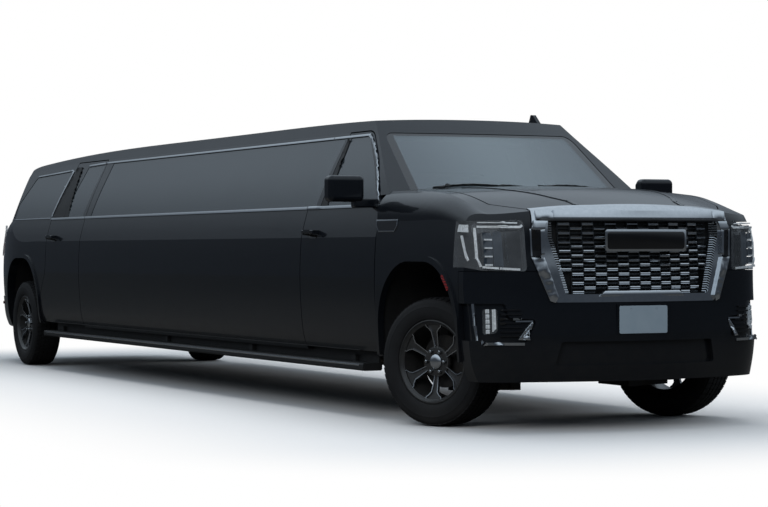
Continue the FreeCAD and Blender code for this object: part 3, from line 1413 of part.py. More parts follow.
dash = block(FRONT - 960, FRONT - 640 - s.seat_clearance, -838, 838, 960, 1340)
dash = dash.makeFillet(60, [e for e in dash.Edges if e.Length > 1500])
piece("dashboard", dash)

WHEEL_Y = 390
wheel_centre = Vector(FRONT - 1120, WHEEL_Y, 1190)
wheel_rake = math.radians(25)
wheel_axis = Vector(-math.cos(wheel_rake), 0, math.sin(wheel_rake))
ring = Part.makeTorus(185, 15, wheel_centre, wheel_axis)
hub = Part.makeCylinder(55, 40, wheel_centre - wheel_axis * 30, wheel_axis)
spoke = Part.makeBox(40, 368, 20, Vector(-20, -184, -10))
spoke.Placement = Placement(wheel_centre, Rotation(Vector(0, 0, 1), wheel_axis))
column = Part.makeCylinder(26, 400, wheel_centre, wheel_axis * -1)
column = column.common(block(FRONT - 2000, FRONT - 960 - s.seat_clearance, 0, WIDE, 0, TALL))
piece("steering_wheel", ring.fuse(hub).fuse(spoke).fuse(column))


def front_seat(y):
    """A front seat: cushion, backrest and headrest on one plinth."""
    half = s.seat_width / 2
    z = FLOOR_TOP + s.seat_clearance
    cushion = Part.makeBox(520, 2 * half, 150, Vector(FRONT - 1780, y - half, z + 190))
    cushion = cushion.makeFillet(45, cushion.Edges)
    back = Part.makeBox(140, 2 * half - 20, 640, Vector(FRONT - 1840, y - half + 10, z + 270))
    back = back.makeFillet(45, back.Edges)
    head = Part.makeBox(100, 260, 190, Vector(FRONT - 1830, y - 130, z + 890))
    head = head.makeFillet(35, head.Edges)
    plinth = Part.makeBox(400, 2 * half - 120, 210, Vector(FRONT - 1720, y - half + 60, z))
    return cushion.fuse(back).fuse(head).fuse(plinth)


piece("front_seats", Part.makeCompound([front_seat(-WHEEL_Y), front_seat(WHEEL_Y)]))

PARTITION_X = DOOR_REAR - 130
partition = block(PARTITION_X - 40, PARTITION_X, -868, 868, FLOOR_TOP + s.seat_clearance, s.roof_height)
partition = partition.common(cabin(STRUCTURE + 62))
partition_opening = [(-560, 1180, 60), (-500, 1640, 60), (500, 1640, 60), (560, 1180, 60)]
partition = partition.cut(front_prism(partition_opening, PARTITION_X - 60, PARTITION_X + 20))
piece("partition", partition)

BENCH_FRONT = PARTITION_X - 300
BENCH_REAR = BACK_DOOR_FRONT + 150
bench_z = FLOOR_TOP + s.seat_clearance
bench_length = BENCH_FRONT - BENCH_REAR
bench_y = 850 - s.bench_depth
bench = Part.makeBox(bench_length, s.bench_depth, s.bench_height, Vector(BENCH_REAR, bench_y, bench_z))
bench = bench.makeFillet(40, [e for e in bench.Edges if e.Length > 1000])
bench_back = Part.makeBox(bench_length, 120, 420, Vector(BENCH_REAR, 735, bench_z + s.bench_height - 60))
bench_back = bench_back.makeFillet(40, [e for e in bench_back.Edges if e.Length > 1000])
rear_bench_z = REAR_FLOOR_TOP + s.seat_clearance
rear_bench_corner = Vector(REAR + 130, -620, rear_bench_z)
rear_bench = Part.makeBox(s.bench_depth + 60, 1240, s.bench_height - 80, rear_bench_corner)
rear_bench = rear_bench.makeFillet(40, [e for e in rear_bench.Edges if e.Length > 1000])
rear_back = Part.makeBox(140, 1240, 700, Vector(REAR + 40, -620, rear_bench_z))
rear_back = rear_back.makeFillet(40, [e for e in rear_back.Edges if e.Length > 1000])
piece("benches", Part.makeCompound([bench.fuse(bench_back), rear_bench.fuse(rear_back)]))

counter = sheet_box(
    "counter_box",
    (bench_length - 300, 320, "sizes.bar_height"),
    (BENCH_REAR + 300, -850, FLOOR_Z),
)
counter = rounded("bar_counter", counter, 25)
counter.Label = "bar_counter"
PIECES.append(counter)

doc.recompute()

# Every object and every sub-part is checked before anything is written

for made in doc.Objects:
    if "Invalid" in made.State or "Error" in made.State:
        raise RuntimeError(f"{made.Label} failed: {made.State}")
for made in PIECES:
    if made.Shape.isNull() or not made.Shape.isValid():
        raise RuntimeError(f"{made.Label} has no valid shape")

os.makedirs("parts", exist_ok=True)
for made in PIECES:
    made.Shape.exportStep(f"parts/{made.Label}.step")
    print(f"{made.Label:26s} solids {len(made.Shape.Solids)}  volume {made.Shape.Volume / 1e6:10.2f} l")
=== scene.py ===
# %% [markdown]
# # Dressing a stretch limousine
#
# The car's construction comes as a fixed frame: every panel, pane and axle at its real size, in metres,
# with +X forward, +Y to the car's left and +Z up. This lesson gives each part its finish, adds the bright
# trim, the lamps, the wheels and the cabin's upholstery, and sets up a plain studio with the camera low
# at the front right corner.

# %% Load the frame
import math
from contextlib import contextmanager

import bpy
from mathutils import Matrix, Vector
from mathutils.kdtree import KDTree


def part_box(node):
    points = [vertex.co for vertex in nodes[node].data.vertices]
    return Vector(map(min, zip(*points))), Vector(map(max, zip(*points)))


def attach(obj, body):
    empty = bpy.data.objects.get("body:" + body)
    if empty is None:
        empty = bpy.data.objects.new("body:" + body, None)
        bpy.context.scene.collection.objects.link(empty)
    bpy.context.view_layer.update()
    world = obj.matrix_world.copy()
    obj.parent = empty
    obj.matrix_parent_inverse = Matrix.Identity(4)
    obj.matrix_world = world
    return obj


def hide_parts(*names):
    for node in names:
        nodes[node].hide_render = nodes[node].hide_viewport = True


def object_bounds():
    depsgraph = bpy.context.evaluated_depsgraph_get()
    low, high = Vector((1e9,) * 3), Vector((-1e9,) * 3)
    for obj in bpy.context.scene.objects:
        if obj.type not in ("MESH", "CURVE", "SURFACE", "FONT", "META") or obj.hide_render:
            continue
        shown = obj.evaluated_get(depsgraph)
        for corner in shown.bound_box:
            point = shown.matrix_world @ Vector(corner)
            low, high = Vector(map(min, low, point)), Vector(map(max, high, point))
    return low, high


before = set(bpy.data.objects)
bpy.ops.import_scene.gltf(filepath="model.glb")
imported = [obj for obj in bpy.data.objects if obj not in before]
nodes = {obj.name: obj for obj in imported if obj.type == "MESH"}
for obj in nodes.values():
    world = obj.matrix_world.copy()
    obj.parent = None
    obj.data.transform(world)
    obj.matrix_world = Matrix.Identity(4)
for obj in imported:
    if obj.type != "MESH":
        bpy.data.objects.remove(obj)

size_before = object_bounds()

# %% [markdown]
# ## A few sizes taken from the frame
#
# The wheels tell where the axles are, and most other places are worked out from those two numbers. Trim
# that lies on a panel never needs a number for its depth, because it is pressed onto that panel.

# %% Axles and heights


def middle(name):
    """The middle of a node's box."""
    low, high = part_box(name)
    return (low + high) / 2


FRONT = (middle("rim_front_right").x + middle("rim_front_left").x) / 2
REAR = middle("rim_rear_right").x
HUB_Z = middle("rim_rear_right").z
TRACK_HALF = abs(middle("tyre_rear_right").y)
TYRE_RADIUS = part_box("tyre_rear_right")[1].z / 2
STEER = math.radians(24)
KINGPIN_INSET = 0.100
KINGPIN_Y = TRACK_HALF - KINGPIN_INSET
print("front axle", round(FRONT, 3), "rear axle", round(REAR, 3), "tyre radius", round(TYRE_RADIUS, 3))

# %% [markdown]
# ## The camera
#
# The photograph was taken from about 13 m ahead of the front axle and 7 m to the car's right, at chest
# height, with a long lens. The camera's three axes are written as a matrix, because the picture is level
# to a fraction of a degree and a turn about the line of sight is easiest to give that way.

# %% Place the camera
CAMERA_PLACE = Vector((17.108, -7.335, 1.10))
CAMERA_YAW = math.radians(154.404)
CAMERA_PITCH = math.radians(-0.121)
CAMERA_ROLL = math.radians(-0.148)
LENS = 107.3
SENSOR_WIDTH = 36
FAR_CLIP = 200

ahead = Vector((
    math.cos(CAMERA_YAW) * math.cos(CAMERA_PITCH),
    math.sin(CAMERA_YAW) * math.cos(CAMERA_PITCH),
    math.sin(CAMERA_PITCH),
))
level_right = ahead.cross(Vector((0, 0, 1))).normalized()
level_up = level_right.cross(ahead)
right = level_right * math.cos(CAMERA_ROLL) + level_up * math.sin(CAMERA_ROLL)
up = level_up * math.cos(CAMERA_ROLL) - level_right * math.sin(CAMERA_ROLL)

bpy.ops.object.camera_add()
camera = bpy.context.object
camera.name = "camera"
camera.matrix_world = Matrix((
    (right.x, up.x, -ahead.x, CAMERA_PLACE.x),
    (right.y, up.y, -ahead.y, CAMERA_PLACE.y),
    (right.z, up.z, -ahead.z, CAMERA_PLACE.z),
    (0, 0, 0, 1),
))
camera.data.lens = LENS
camera.data.sensor_width = SENSOR_WIDTH
camera.data.clip_end = FAR_CLIP
bpy.context.scene.camera = camera
print("camera at", tuple(round(v, 2) for v in CAMERA_PLACE), "lens", LENS)

# %% [markdown]
# ## Writing shader maths as Python
#
# A material is a graph of nodes, and a graph of forty boxes is hard to read. Here a small class wraps one
# socket and overloads + - * ** % and abs, so that a mask reads like the sum it is. Every other node comes
# from one method that takes the node's type, its settings and its sockets.

# %% The socket wrapper


def operator(operation, swapped=False):
    """A Python operator that adds a Math node."""

    def act(wire, other=0.0):
        first, second = (other, wire) if swapped else (wire, other)
        return wire.recipe.node("ShaderNodeMath", {"operation": operation}, {0: first, 1: second})

    return act


class Wire:
    """A node's output that takes part in Python expressions."""

    __add__ = __radd__ = operator("ADD")
    __mul__ = __rmul__ = operator("MULTIPLY")
    __sub__ = operator("SUBTRACT")
    __rsub__ = operator("SUBTRACT", swapped=True)
    __pow__ = operator("POWER")
    __mod__ = operator("FLOORED_MODULO")
    __abs__ = operator("ABSOLUTE")

    def __init__(self, recipe, socket):
        self.recipe = recipe
        self.socket = socket


class Recipe:
    """One material's nodes."""

    def __init__(self, name):
        self.material = bpy.data.materials.new(name)
        self.material.use_nodes = True
        self.tree = self.material.node_tree
        self.tree.nodes.clear()
        self.place = self.node("ShaderNodeTexCoord", output="Object")

    def node(self, kind, settings=None, sockets=None, output=0):
        """Any node: settings are set first, then the sockets get values or links."""
        made = self.tree.nodes.new(kind)
        for key, value in (settings or {}).items():
            setattr(made, key, value)
        for key, value in (sockets or {}).items():
            if isinstance(value, Wire):
                self.tree.links.new(value.socket, made.inputs[key])
            else:
                made.inputs[key].default_value = value
        return Wire(self, made.outputs[output])

    def axis(self, letter):
        """One coordinate of the point on the object, in metres."""
        return self.node("ShaderNodeSeparateXYZ", sockets={0: self.place}, output="XYZ".index(letter))

    def noise(self, scale, detail=3.0, roughness=0.5, stretch=(1, 1, 1)):
        """Soft blotches from 0 to 1; stretch squeezes them along the axes."""
        where = self.node("ShaderNodeMapping", sockets={"Vector": self.place, "Scale": stretch})
        values = {"Vector": where, "Scale": scale, "Detail": detail, "Roughness": roughness}
        return self.node("ShaderNodeTexNoise", sockets=values)

    def cells(self, scale, feature="F1"):
        """Distance to the nearest point of a scatter, for grain and flakes."""
        values = {"Vector": self.place, "Scale": scale}
        return self.node("ShaderNodeTexVoronoi", {"feature": feature}, values)

    def step(self, value, low, high):
        """0 below low, 1 above high and a smooth rise between."""
        values = {"Value": value, "From Min": low, "From Max": high, "To Min": 0.0, "To Max": 1.0}
        return self.node("ShaderNodeMapRange", {"interpolation_type": "SMOOTHSTEP"}, values)

    def blend(self, amount, first, second):
        """A colour between two."""
        return self.node("ShaderNodeMix", {"data_type": "RGBA"}, {0: amount, 6: first, 7: second}, output=2)

    def surface(self, colour, roughness, metallic=0.0, relief=None, depth=0.001, **constants):
        """Finishes the material: relief is a height that tilts the light by depth metres."""
        sockets = {"Base Color": colour, "Roughness": roughness, "Metallic": metallic}
        sockets.update({key.replace("_", " "): value for key, value in constants.items()})
        if relief is not None:
            sockets["Normal"] = self.node("ShaderNodeBump", sockets={"Distance": depth, "Height": relief})
        shader = self.node("ShaderNodeBsdfPrincipled", sockets=sockets)
        return self.close(shader)

    def close(self, shader):
        """Sends a shader to the material's output."""
        end = self.tree.nodes.new("ShaderNodeOutputMaterial")
        self.tree.links.new(shader.socket, end.inputs["Surface"])
        return self.material


def tone(red, green, blue):
    """A colour as the shader takes it."""
    return (red, green, blue, 1.0)


print("socket wrapper ready")

# %% [markdown]
# ## Paint, chrome and glass
#
# The body is black with a trace of blue. Car paint is a dark base with fine metal flakes under a clear
# coat, so the base colour holds the flakes and the coat gives the mirror. Low on the body the base turns a
# brownish grey in long bands, which is painted reflection of the ground. Chrome is a metal of almost no
# roughness, with a faint haze so that it isn't perfect. Side glass is so dark that little passes, and the
# windscreen is clear with a bluish grey painted on as reflection, lighter across its middle, and a dark
# printed border round its edge, which is worked out here from the point's own place. Many finishes differ
# only in numbers, so one function makes them all: two tones and a roughness that drift with a soft noise.

# %% Finishes of the outside


def hazed(name, haze, dark, light, roughness, gain, metallic=0.0, relief=None, depth=0.0, **more):
    """A finish whose colour and roughness drift with one soft noise."""
    recipe = Recipe(name)
    drift = recipe.noise(*haze)
    colour = recipe.blend(drift, tone(*dark), tone(*light))
    height = recipe.noise(*relief) if relief else None
    return recipe.surface(colour, roughness + drift * gain, metallic, height, depth, **more)


def paint():
    recipe = Recipe("paint")
    flakes = recipe.cells(1400)
    haze = recipe.noise(3, 4)
    # Below 0.75 m, long bands blend the base towards a brownish grey and roughen it: painted reflection of
    # the ground.
    ground_reflection_bands = recipe.step(recipe.axis("Z"), 0.75, 0.35) * recipe.noise(18, 6, stretch=(0.3, 1, 1))
    deep = tone(0.0035, 0.0045, 0.0065)
    lifted = tone(0.011, 0.014, 0.020)
    dust_and_ground_reflection = tone(0.020, 0.019, 0.017)
    colour = recipe.blend(recipe.step(flakes, 0.5, 0.1), deep, lifted)
    colour = recipe.blend(ground_reflection_bands * 0.45, colour, dust_and_ground_reflection)
    roughness = 0.30 + haze * 0.06 + ground_reflection_bands * 0.2
    return recipe.surface(
        colour, roughness, 0.0, recipe.noise(260, 2), 0.00003,
        Coat_Weight=0.8, Coat_Roughness=0.02, Coat_IOR=1.45, Specular_IOR_Level=0.1,
    )


def screen_glass():
    recipe = Recipe("glass")
    across = abs(recipe.axis("Y"))
    height = recipe.axis("Z")
    edge = across + (height - 1.395) * 0.182
    border = recipe.step(edge, 0.735, 0.75)
    border = border + recipe.step(height, 1.850, 1.862) + recipe.step(height, 1.440, 1.425)
    band = recipe.step(border, 0.2, 0.8)
    # The part-opaque bluish grey of the glass, lighter across its middle than at its sides, is painted
    # reflection.
    wide = recipe.step(across, 0.8, 0.0)
    clear = recipe.blend(wide, tone(0.10, 0.125, 0.145), tone(0.16, 0.20, 0.225))
    colour = recipe.blend(band, clear, tone(0.006, 0.006, 0.007))
    alpha = 0.62 + band * 0.36
    return recipe.surface(
        colour, 0.02 + band * 0.1, 0.0, None, 0.0,
        Alpha=alpha, Specular_IOR_Level=0.6, Coat_Weight=0.6, Coat_Roughness=0.01,
    )


def lens():
    recipe = Recipe("lamp_lens")
    haze = recipe.noise(30, 3)
    colour = recipe.blend(haze, tone(0.5, 0.55, 0.6), tone(0.7, 0.75, 0.8))
    return recipe.surface(
        colour, 0.02 + haze * 0.02, 0.0, recipe.noise(25, 1), 0.0001,
        Alpha=0.07 + haze * 0.04, Specular_IOR_Level=0.5, Coat_Weight=0.8, Coat_Roughness=0.01,
    )


def red_lens():
    recipe = Recipe("red_lens")
    rows = recipe.axis("Z") * 60
    ribs = recipe.step(abs(rows % 1 - 0.5), 0.15, 0.4)
    colour = recipe.blend(ribs, tone(0.10, 0.002, 0.003), tone(0.26, 0.006, 0.006))
    return recipe.surface(
        colour, 0.12 + ribs * 0.1, 0.0, ribs, 0.0006,
        Alpha=0.97, Coat_Weight=1.0, Coat_Roughness=0.02,
    )


def black_plastic(name, shade, roughness):
    """Grained plastic that drifts a little round one shade of grey."""
    recipe = Recipe(name)
    grain = recipe.cells(900)
    haze = recipe.noise(9, 5)
    deep = tone(shade * 0.7, shade * 0.72, shade * 0.75)
    pale = tone(shade * 1.4, shade * 1.42, shade * 1.45)
    colour = recipe.blend(haze, deep, pale)
    return recipe.surface(colour, roughness - 0.06 + haze * 0.14, 0.0, grain, 0.0002, Specular_IOR_Level=0.35)


print("outside finishes ready")

# %% [markdown]
# ## Rubber, alloy and what is under the car
#
# Rubber is dull, dark and a little dusty where it meets the road. The wheels are cast, painted grey in
# their pockets and turned bright on their faces, and the turning leaves fine streaks. Under the car
# everything wears black wax with road dirt thrown over it, the axles' steel is barer, and the exhaust's
# heat has coloured it brown towards the engine.

# %% Finishes of the wheels and the underside


def rubber():
    recipe = Recipe("tyre")
    dust_and_ground_reflection = recipe.noise(14, 6)
    low = recipe.step(recipe.axis("Z"), 0.22, 0.0)
    colour = recipe.blend(dust_and_ground_reflection, tone(0.007, 0.007, 0.0075), tone(0.017, 0.017, 0.018))
    colour = recipe.blend(low * dust_and_ground_reflection * 0.5, colour, tone(0.045, 0.042, 0.038))
    fine = recipe.noise(420, 3)
    return recipe.surface(colour, 0.62 + dust_and_ground_reflection * 0.2, 0.0, fine, 0.0003, Specular_IOR_Level=0.3)


def bright_alloy():
    recipe = Recipe("alloy")
    haze = recipe.noise(20, 4)
    streaks = recipe.noise(60, 3, stretch=(1, 8, 1))
    colour = recipe.blend(streaks, tone(0.42, 0.43, 0.45), tone(0.66, 0.67, 0.69))
    return recipe.surface(colour, 0.16 + haze * 0.14, 1.0, streaks, 0.00008, Coat_Weight=0.3)


def grimy(name, base, dirt, roughness=0.7, metallic=0.0, depth=0.001):
    """Waxed or bare metal under the car, with dirt in soft patches."""
    recipe = Recipe(name)
    patches = recipe.noise(5, 8, 0.62)
    grit = recipe.noise(180, 3)
    amount = recipe.step(patches, 0.42, 0.68)
    colour = recipe.blend(amount, tone(*base), tone(*dirt))
    return recipe.surface(colour, roughness + amount * 0.2, metallic, grit + patches, depth)


def exhaust_steel(name="exhaust_steel"):
    recipe = Recipe(name)
    heat = recipe.step(recipe.axis("X"), -1.0, 3.6)
    haze = recipe.noise(12, 6)
    steel = recipe.blend(haze, tone(0.16, 0.15, 0.14), tone(0.30, 0.29, 0.27))
    colour = recipe.blend(heat * haze, steel, tone(0.17, 0.09, 0.05))
    return recipe.surface(colour, 0.38 + haze * 0.25, 0.85, recipe.noise(90, 3), 0.0004)


print("wheel and underside finishes ready")

# %% [markdown]
# ## The cabin
#
# Behind the dark glass are black leather seats and benches with sewn channels, carpet and polished wood.
# Leather grain is a scatter of small cells with creases between them, and wood is a stretched noise bent
# by a slower one.

# %% Finishes of the cabin


def leather():
    recipe = Recipe("leather")
    grain = recipe.cells(420, "DISTANCE_TO_EDGE")
    wear = recipe.noise(6, 5)
    creases = recipe.step(grain, 0.0, 0.12)
    colour = recipe.blend(wear, tone(0.016, 0.0152, 0.0148), tone(0.036, 0.034, 0.0324))
    return recipe.surface(colour, 0.42 + wear * 0.16, 0.0, creases, 0.0004, Specular_IOR_Level=0.4)


def carpet():
    recipe = Recipe("cabin_trim")
    pile = recipe.noise(700, 3)
    blotch = recipe.noise(8, 4)
    colour = recipe.blend(blotch, tone(0.012, 0.012, 0.014), tone(0.028, 0.028, 0.031))
    return recipe.surface(colour, 0.9 + pile * 0.08, 0.0, pile, 0.002, Sheen_Weight=0.3)


def wood():
    recipe = Recipe("wood")
    bend = recipe.noise(1.5, 3)
    grain = recipe.noise(9, 8, 0.6, stretch=(0.25, 9, 9)) + bend * 0.4
    lines = recipe.step(abs(grain * 7 % 1 - 0.5), 0.05, 0.45)
    colour = recipe.blend(lines, tone(0.055, 0.018, 0.007), tone(0.16, 0.062, 0.024))
    return recipe.surface(
        colour, 0.25 + lines * 0.12, 0.0, lines, 0.0001, Coat_Weight=0.9, Coat_Roughness=0.05,
    )


finishes = {
    "paint": paint(),
    "chrome": hazed(
        "chrome", (40, 4), (0.62, 0.65, 0.68), (0.78, 0.80, 0.82), 0.05, 0.07, 1.0, (90, 2), 0.00005,
    ),
    "tinted_glass": hazed(
        "tinted_glass", (2.5, 3), (0.020, 0.027, 0.033), (0.028, 0.037, 0.044), 0.03, 0.03,
        Alpha=0.92, Specular_IOR_Level=0.62, Coat_Weight=0.5, Coat_Roughness=0.02,
    ),
    "glass": screen_glass(),
    "lamp_lens": lens(),
    "red_lens": red_lens(),
    "dark_chrome": hazed(
        "dark_chrome", (40, 4), (0.045, 0.050, 0.056), (0.085, 0.092, 0.100), 0.22, 0.10, 0.9,
        (90, 2), 0.00005,
    ),
    "lamp_light": hazed(
        "lamp_light", (60, 3), (0.62, 0.66, 0.68), (0.80, 0.83, 0.85), 0.22, 0.1, 0.15, (60, 3), 0.0001,
        Coat_Weight=0.5,
    ),
    "lamp_blue": hazed(
        "lamp_blue", (16, 4), (0.020, 0.028, 0.040), (0.045, 0.060, 0.080), 0.25, 0.12, 0.35, (16, 4), 0.0002,
        Coat_Weight=0.5,
    ),
    "plate_paint": hazed(
        "plate_paint", (10, 4), (0.27, 0.34, 0.40), (0.36, 0.43, 0.48), 0.38, 0.15, 0.0, (300, 2), 0.0001,
    ),
    "trim_plastic": black_plastic("trim_plastic", 0.012, 0.48),
    "gloss_black": hazed(
        "gloss_black", (12, 4), (0.003, 0.003, 0.0035), (0.007, 0.007, 0.008), 0.08, 0.06, 0.0,
        (200, 2), 0.00003, Coat_Weight=0.6,
    ),
    "tyre": rubber(),
    "alloy": bright_alloy(),
    "alloy_pocket": hazed(
        "alloy_pocket", (30, 4), (0.035, 0.035, 0.036), (0.075, 0.074, 0.072), 0.34, 0.15, 0.6,
        (500, 2), 0.0001, Coat_Weight=0.4,
    ),
    "underbody": grimy("underbody", (0.008, 0.008, 0.009), (0.030, 0.027, 0.023), 0.62),
    "suspension": grimy("suspension", (0.045, 0.044, 0.043), (0.075, 0.060, 0.045), 0.48, 0.6),
    "engine": grimy("engine", (0.11, 0.11, 0.11), (0.05, 0.045, 0.04), 0.45, 0.7),
    "exhaust_steel": exhaust_steel(),
    "board": black_plastic("board", 0.014, 0.55),
    "cabin_trim": carpet(),
    "leather": leather(),
    "wood": wood(),
}
print("finishes", len(finishes))

# %% [markdown]
# ## Every node takes its finish
#
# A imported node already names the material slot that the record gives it. Its object keeps its mesh, and
# only the material in its slot is exchanged.

# %% Assign the finishes to the frame
for name, part in nodes.items():
    for slot_place in part.material_slots:
        slot_name = slot_place.material.name.split(".")[0]
        slot_place.material = finishes.get(slot_name, finishes["trim_plastic"])
print("slots used", sorted({place.material.name for part in nodes.values() for place in part.material_slots}))

# %% [markdown]
# ## The studio
#
# The picture has a white background with a soft shadow under the car. The floor is a pale surface that
# takes the shadow near the car and fades to pure white further out. Only the camera sees it so, which the
# Light Path node tells: to every other ray the floor is dark, as the low reflections in the paint are.
# The lamps stay plain: one wide soft box overhead, one to the front right and a weak one to the left.

# %% Floor, world and lamps
FADE_START = 0.35
FADE_END = 2.6
CAR_HALF_LENGTH = (size_before[1][0] - size_before[0][0]) / 2
CAR_HALF_WIDTH = 1.0


def floor_finish():
    recipe = Recipe("floor")
    speck = recipe.noise(30, 4)
    out_x = abs(recipe.axis("X")) - CAR_HALF_LENGTH
    out_y = abs(recipe.axis("Y")) - CAR_HALF_WIDTH
    far_x = recipe.node("ShaderNodeMath", {"operation": "MAXIMUM"}, {0: out_x, 1: 0.0})
    far_y = recipe.node("ShaderNodeMath", {"operation": "MAXIMUM"}, {0: out_y, 1: 0.0})
    distance = (far_x * far_x + far_y * far_y) ** 0.5
    fade = recipe.step(distance, FADE_START, FADE_END)
    pale = recipe.blend(speck, tone(0.66, 0.66, 0.66), tone(0.70, 0.70, 0.70))
    matt = recipe.node("ShaderNodeBsdfDiffuse", sockets={"Color": pale})
    white = recipe.node("ShaderNodeEmission", sockets={"Color": tone(1, 1, 1), "Strength": 1.0})
    path = recipe.node("ShaderNodeLightPath").socket.node.outputs["Is Camera Ray"]
    watched = Wire(recipe, path)
    shown = recipe.node("ShaderNodeMixShader", sockets={0: fade, 1: matt, 2: white})
    dim = recipe.node("ShaderNodeBsdfDiffuse", sockets={"Color": tone(0.085, 0.083, 0.080)})
    return recipe.close(recipe.node("ShaderNodeMixShader", sockets={0: watched, 1: dim, 2: shown}))


FLOOR_SIZE = 120
bpy.ops.mesh.primitive_plane_add(size=FLOOR_SIZE, location=(0, 0, 0))
floor = bpy.context.object
floor.name = "floor"
floor.data.materials.append(floor_finish())

world = bpy.data.worlds.new("studio")
bpy.context.scene.world = world
world.use_nodes = True
air = world.node_tree
air.nodes.clear()


def air_node(kind, **sockets):
    """A node of the world, with values or links on its sockets."""
    made = air.nodes.new(kind)
    for key, value in sockets.items():
        socket = made.inputs[int(key[1:])] if key[1:].isdigit() else made.inputs[key]
        if isinstance(value, bpy.types.NodeSocket):
            air.links.new(value, socket)
        else:
            socket.default_value = value
    return made


path = air_node("ShaderNodeLightPath")
direction = air_node("ShaderNodeTexCoord").outputs["Generated"]
height = air_node("ShaderNodeSeparateXYZ", _0=direction).outputs["Z"]
rise = air_node("ShaderNodeMapRange", _0=height, _1=0.02, _2=0.55, _3=0.0, _4=1.0)
rise.interpolation_type = "SMOOTHSTEP"
sky = air.nodes.new("ShaderNodeMix")
sky.data_type = "RGBA"
air.links.new(rise.outputs[0], sky.inputs[0])
sky.inputs[6].default_value = tone(0.050, 0.060, 0.075)
sky.inputs[7].default_value = tone(0.62, 0.72, 0.82)
light = air_node("ShaderNodeBackground", Color=sky.outputs[2], Strength=0.85)
white = air_node("ShaderNodeBackground", Color=tone(1, 1, 1), Strength=1.0)
either = air_node("ShaderNodeMath", _0=path.outputs["Is Camera Ray"], _1=path.outputs["Is Transmission Ray"])
either.operation = "MAXIMUM"
mixed = air_node("ShaderNodeMixShader", _0=either.outputs[0], _1=light.outputs[0], _2=white.outputs[0])
air_node("ShaderNodeOutputWorld", Surface=mixed.outputs[0])


def soft_box(name, place, aim, width, height, power):
    """A rectangular lamp at a place, turned towards a point."""
    bpy.ops.object.light_add(type="AREA", location=place)
    lamp = bpy.context.object
    lamp.name = name
    lamp.data.shape = "RECTANGLE"
    lamp.data.size = width
    lamp.data.size_y = height
    lamp.data.energy = power
    lamp.visible_glossy = False
    lamp.rotation_euler = (Vector(aim) - Vector(place)).to_track_quat("-Z", "Y").to_euler()


soft_box("overhead", (0, 0, 7.0), (0, 0, 0), 12, 5, 520)
soft_box("front_right", (11, -8, 5.0), (3, 0, 0.8), 5, 3, 330)
soft_box("left_fill", (2, 10, 4.0), (0, 0, 0.8), 8, 3, 160)

bpy.context.scene.view_settings.view_transform = "Standard"
print("studio ready, floor fades to white from", FADE_START, "to", FADE_END, "m outside the car")

# %% [markdown]
# ## Tools for modelling
#
# The new pieces are modelled as by hand: a primitive is added, its faces are picked by where they lie or
# which way they look, and edit-mode operators push them about. Four habits keep that safe in a script.
# Everything is deselected first. A pick is made in object mode, on the mesh's own faces. Edit mode is
# entered and left in one place. And a finished piece sits at the origin, unturned and unscaled, with its
# place in its mesh.

# %% Picking and editing


def clear():
    """Deselects everything."""
    if bpy.context.object and bpy.context.object.mode != "OBJECT":
        bpy.ops.object.mode_set(mode="OBJECT")
    bpy.ops.object.select_all(action="DESELECT")


def hold(piece):
    """Makes a piece the only one selected, and active."""
    clear()
    piece.select_set(True)
    bpy.context.view_layer.objects.active = piece
    return piece


@contextmanager
def editing(piece, picking="FACE"):
    """Edit mode for one piece, with everything in it selected."""
    hold(piece)
    bpy.ops.object.mode_set(mode="EDIT")
    bpy.ops.mesh.select_mode(type=picking)
    bpy.ops.mesh.select_all(action="SELECT")
    yield piece
    bpy.ops.object.mode_set(mode="OBJECT")


def pick(piece, test):
    """In edit mode, selects only the faces whose middle and normal pass the test."""
    bpy.ops.mesh.select_mode(type="FACE")
    bpy.ops.mesh.select_all(action="DESELECT")
    bpy.ops.object.mode_set(mode="OBJECT")
    for face in piece.data.polygons:
        face.select = bool(test(face.center, face.normal))
    bpy.ops.object.mode_set(mode="EDIT")


def settle(piece):
    """Puts a piece's place, turn and size into its mesh, with its modifiers applied."""
    hold(piece)
    for modifier in list(piece.modifiers):
        bpy.ops.object.modifier_apply(modifier=modifier.name)
    bpy.ops.object.transform_apply(location=True, rotation=True, scale=True)
    return piece


def outward(piece):
    """Merges doubles and turns the faces outwards."""
    with editing(piece, "VERT"):
        bpy.ops.mesh.remove_doubles(threshold=0.00002)
        bpy.ops.mesh.normals_make_consistent(inside=False)
    return piece


def softened(piece, width, segments=2, angle=35):
    """Rounds the sharp edges with a Bevel modifier."""
    bevel = piece.modifiers.new("edge", "BEVEL")
    bevel.width = width
    bevel.segments = segments
    bevel.limit_method = "ANGLE"
    bevel.angle_limit = math.radians(angle)
    return settle(piece)


def copied(piece, name, matrix):
    """A copy with its own mesh, moved by a matrix."""
    twin = bpy.data.objects.new(name, piece.data.copy())
    bpy.context.scene.collection.objects.link(twin)
    twin.data.transform(matrix)
    if matrix.determinant() < 0:
        outward(twin)
    return twin


def joined(name, pieces):
    """Several pieces as one mesh."""
    hold(pieces[0])
    for piece in pieces[1:]:
        piece.select_set(True)
    bpy.ops.object.join()
    made = bpy.context.object
    made.name = name
    return settle(made)


def finished(piece, body, finish, smooth=40):
    """Gives a piece its finish, its body and its slot, and smooths all but its sharp edges."""
    hold(piece)
    if finish is not None:
        piece.data.materials.clear()
        piece.data.materials.append(finishes[finish])
    bpy.ops.object.shade_smooth_by_angle(angle=math.radians(smooth))
    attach(piece, body)
    piece.data.calc_loop_triangles()
    print(f"{piece.name}: {len(piece.data.loop_triangles)} triangles on {body}")
    return piece


def trimmed(piece, body, finish, edge=None):
    """Rounds a right-hand trim piece's edges, where asked, and puts it on both sides."""
    if edge:
        softened(piece, edge, 2, 60)
    both_sides(piece, body, finish)


MIRROR = Matrix.Scale(-1, 4, Vector((0, 1, 0)))


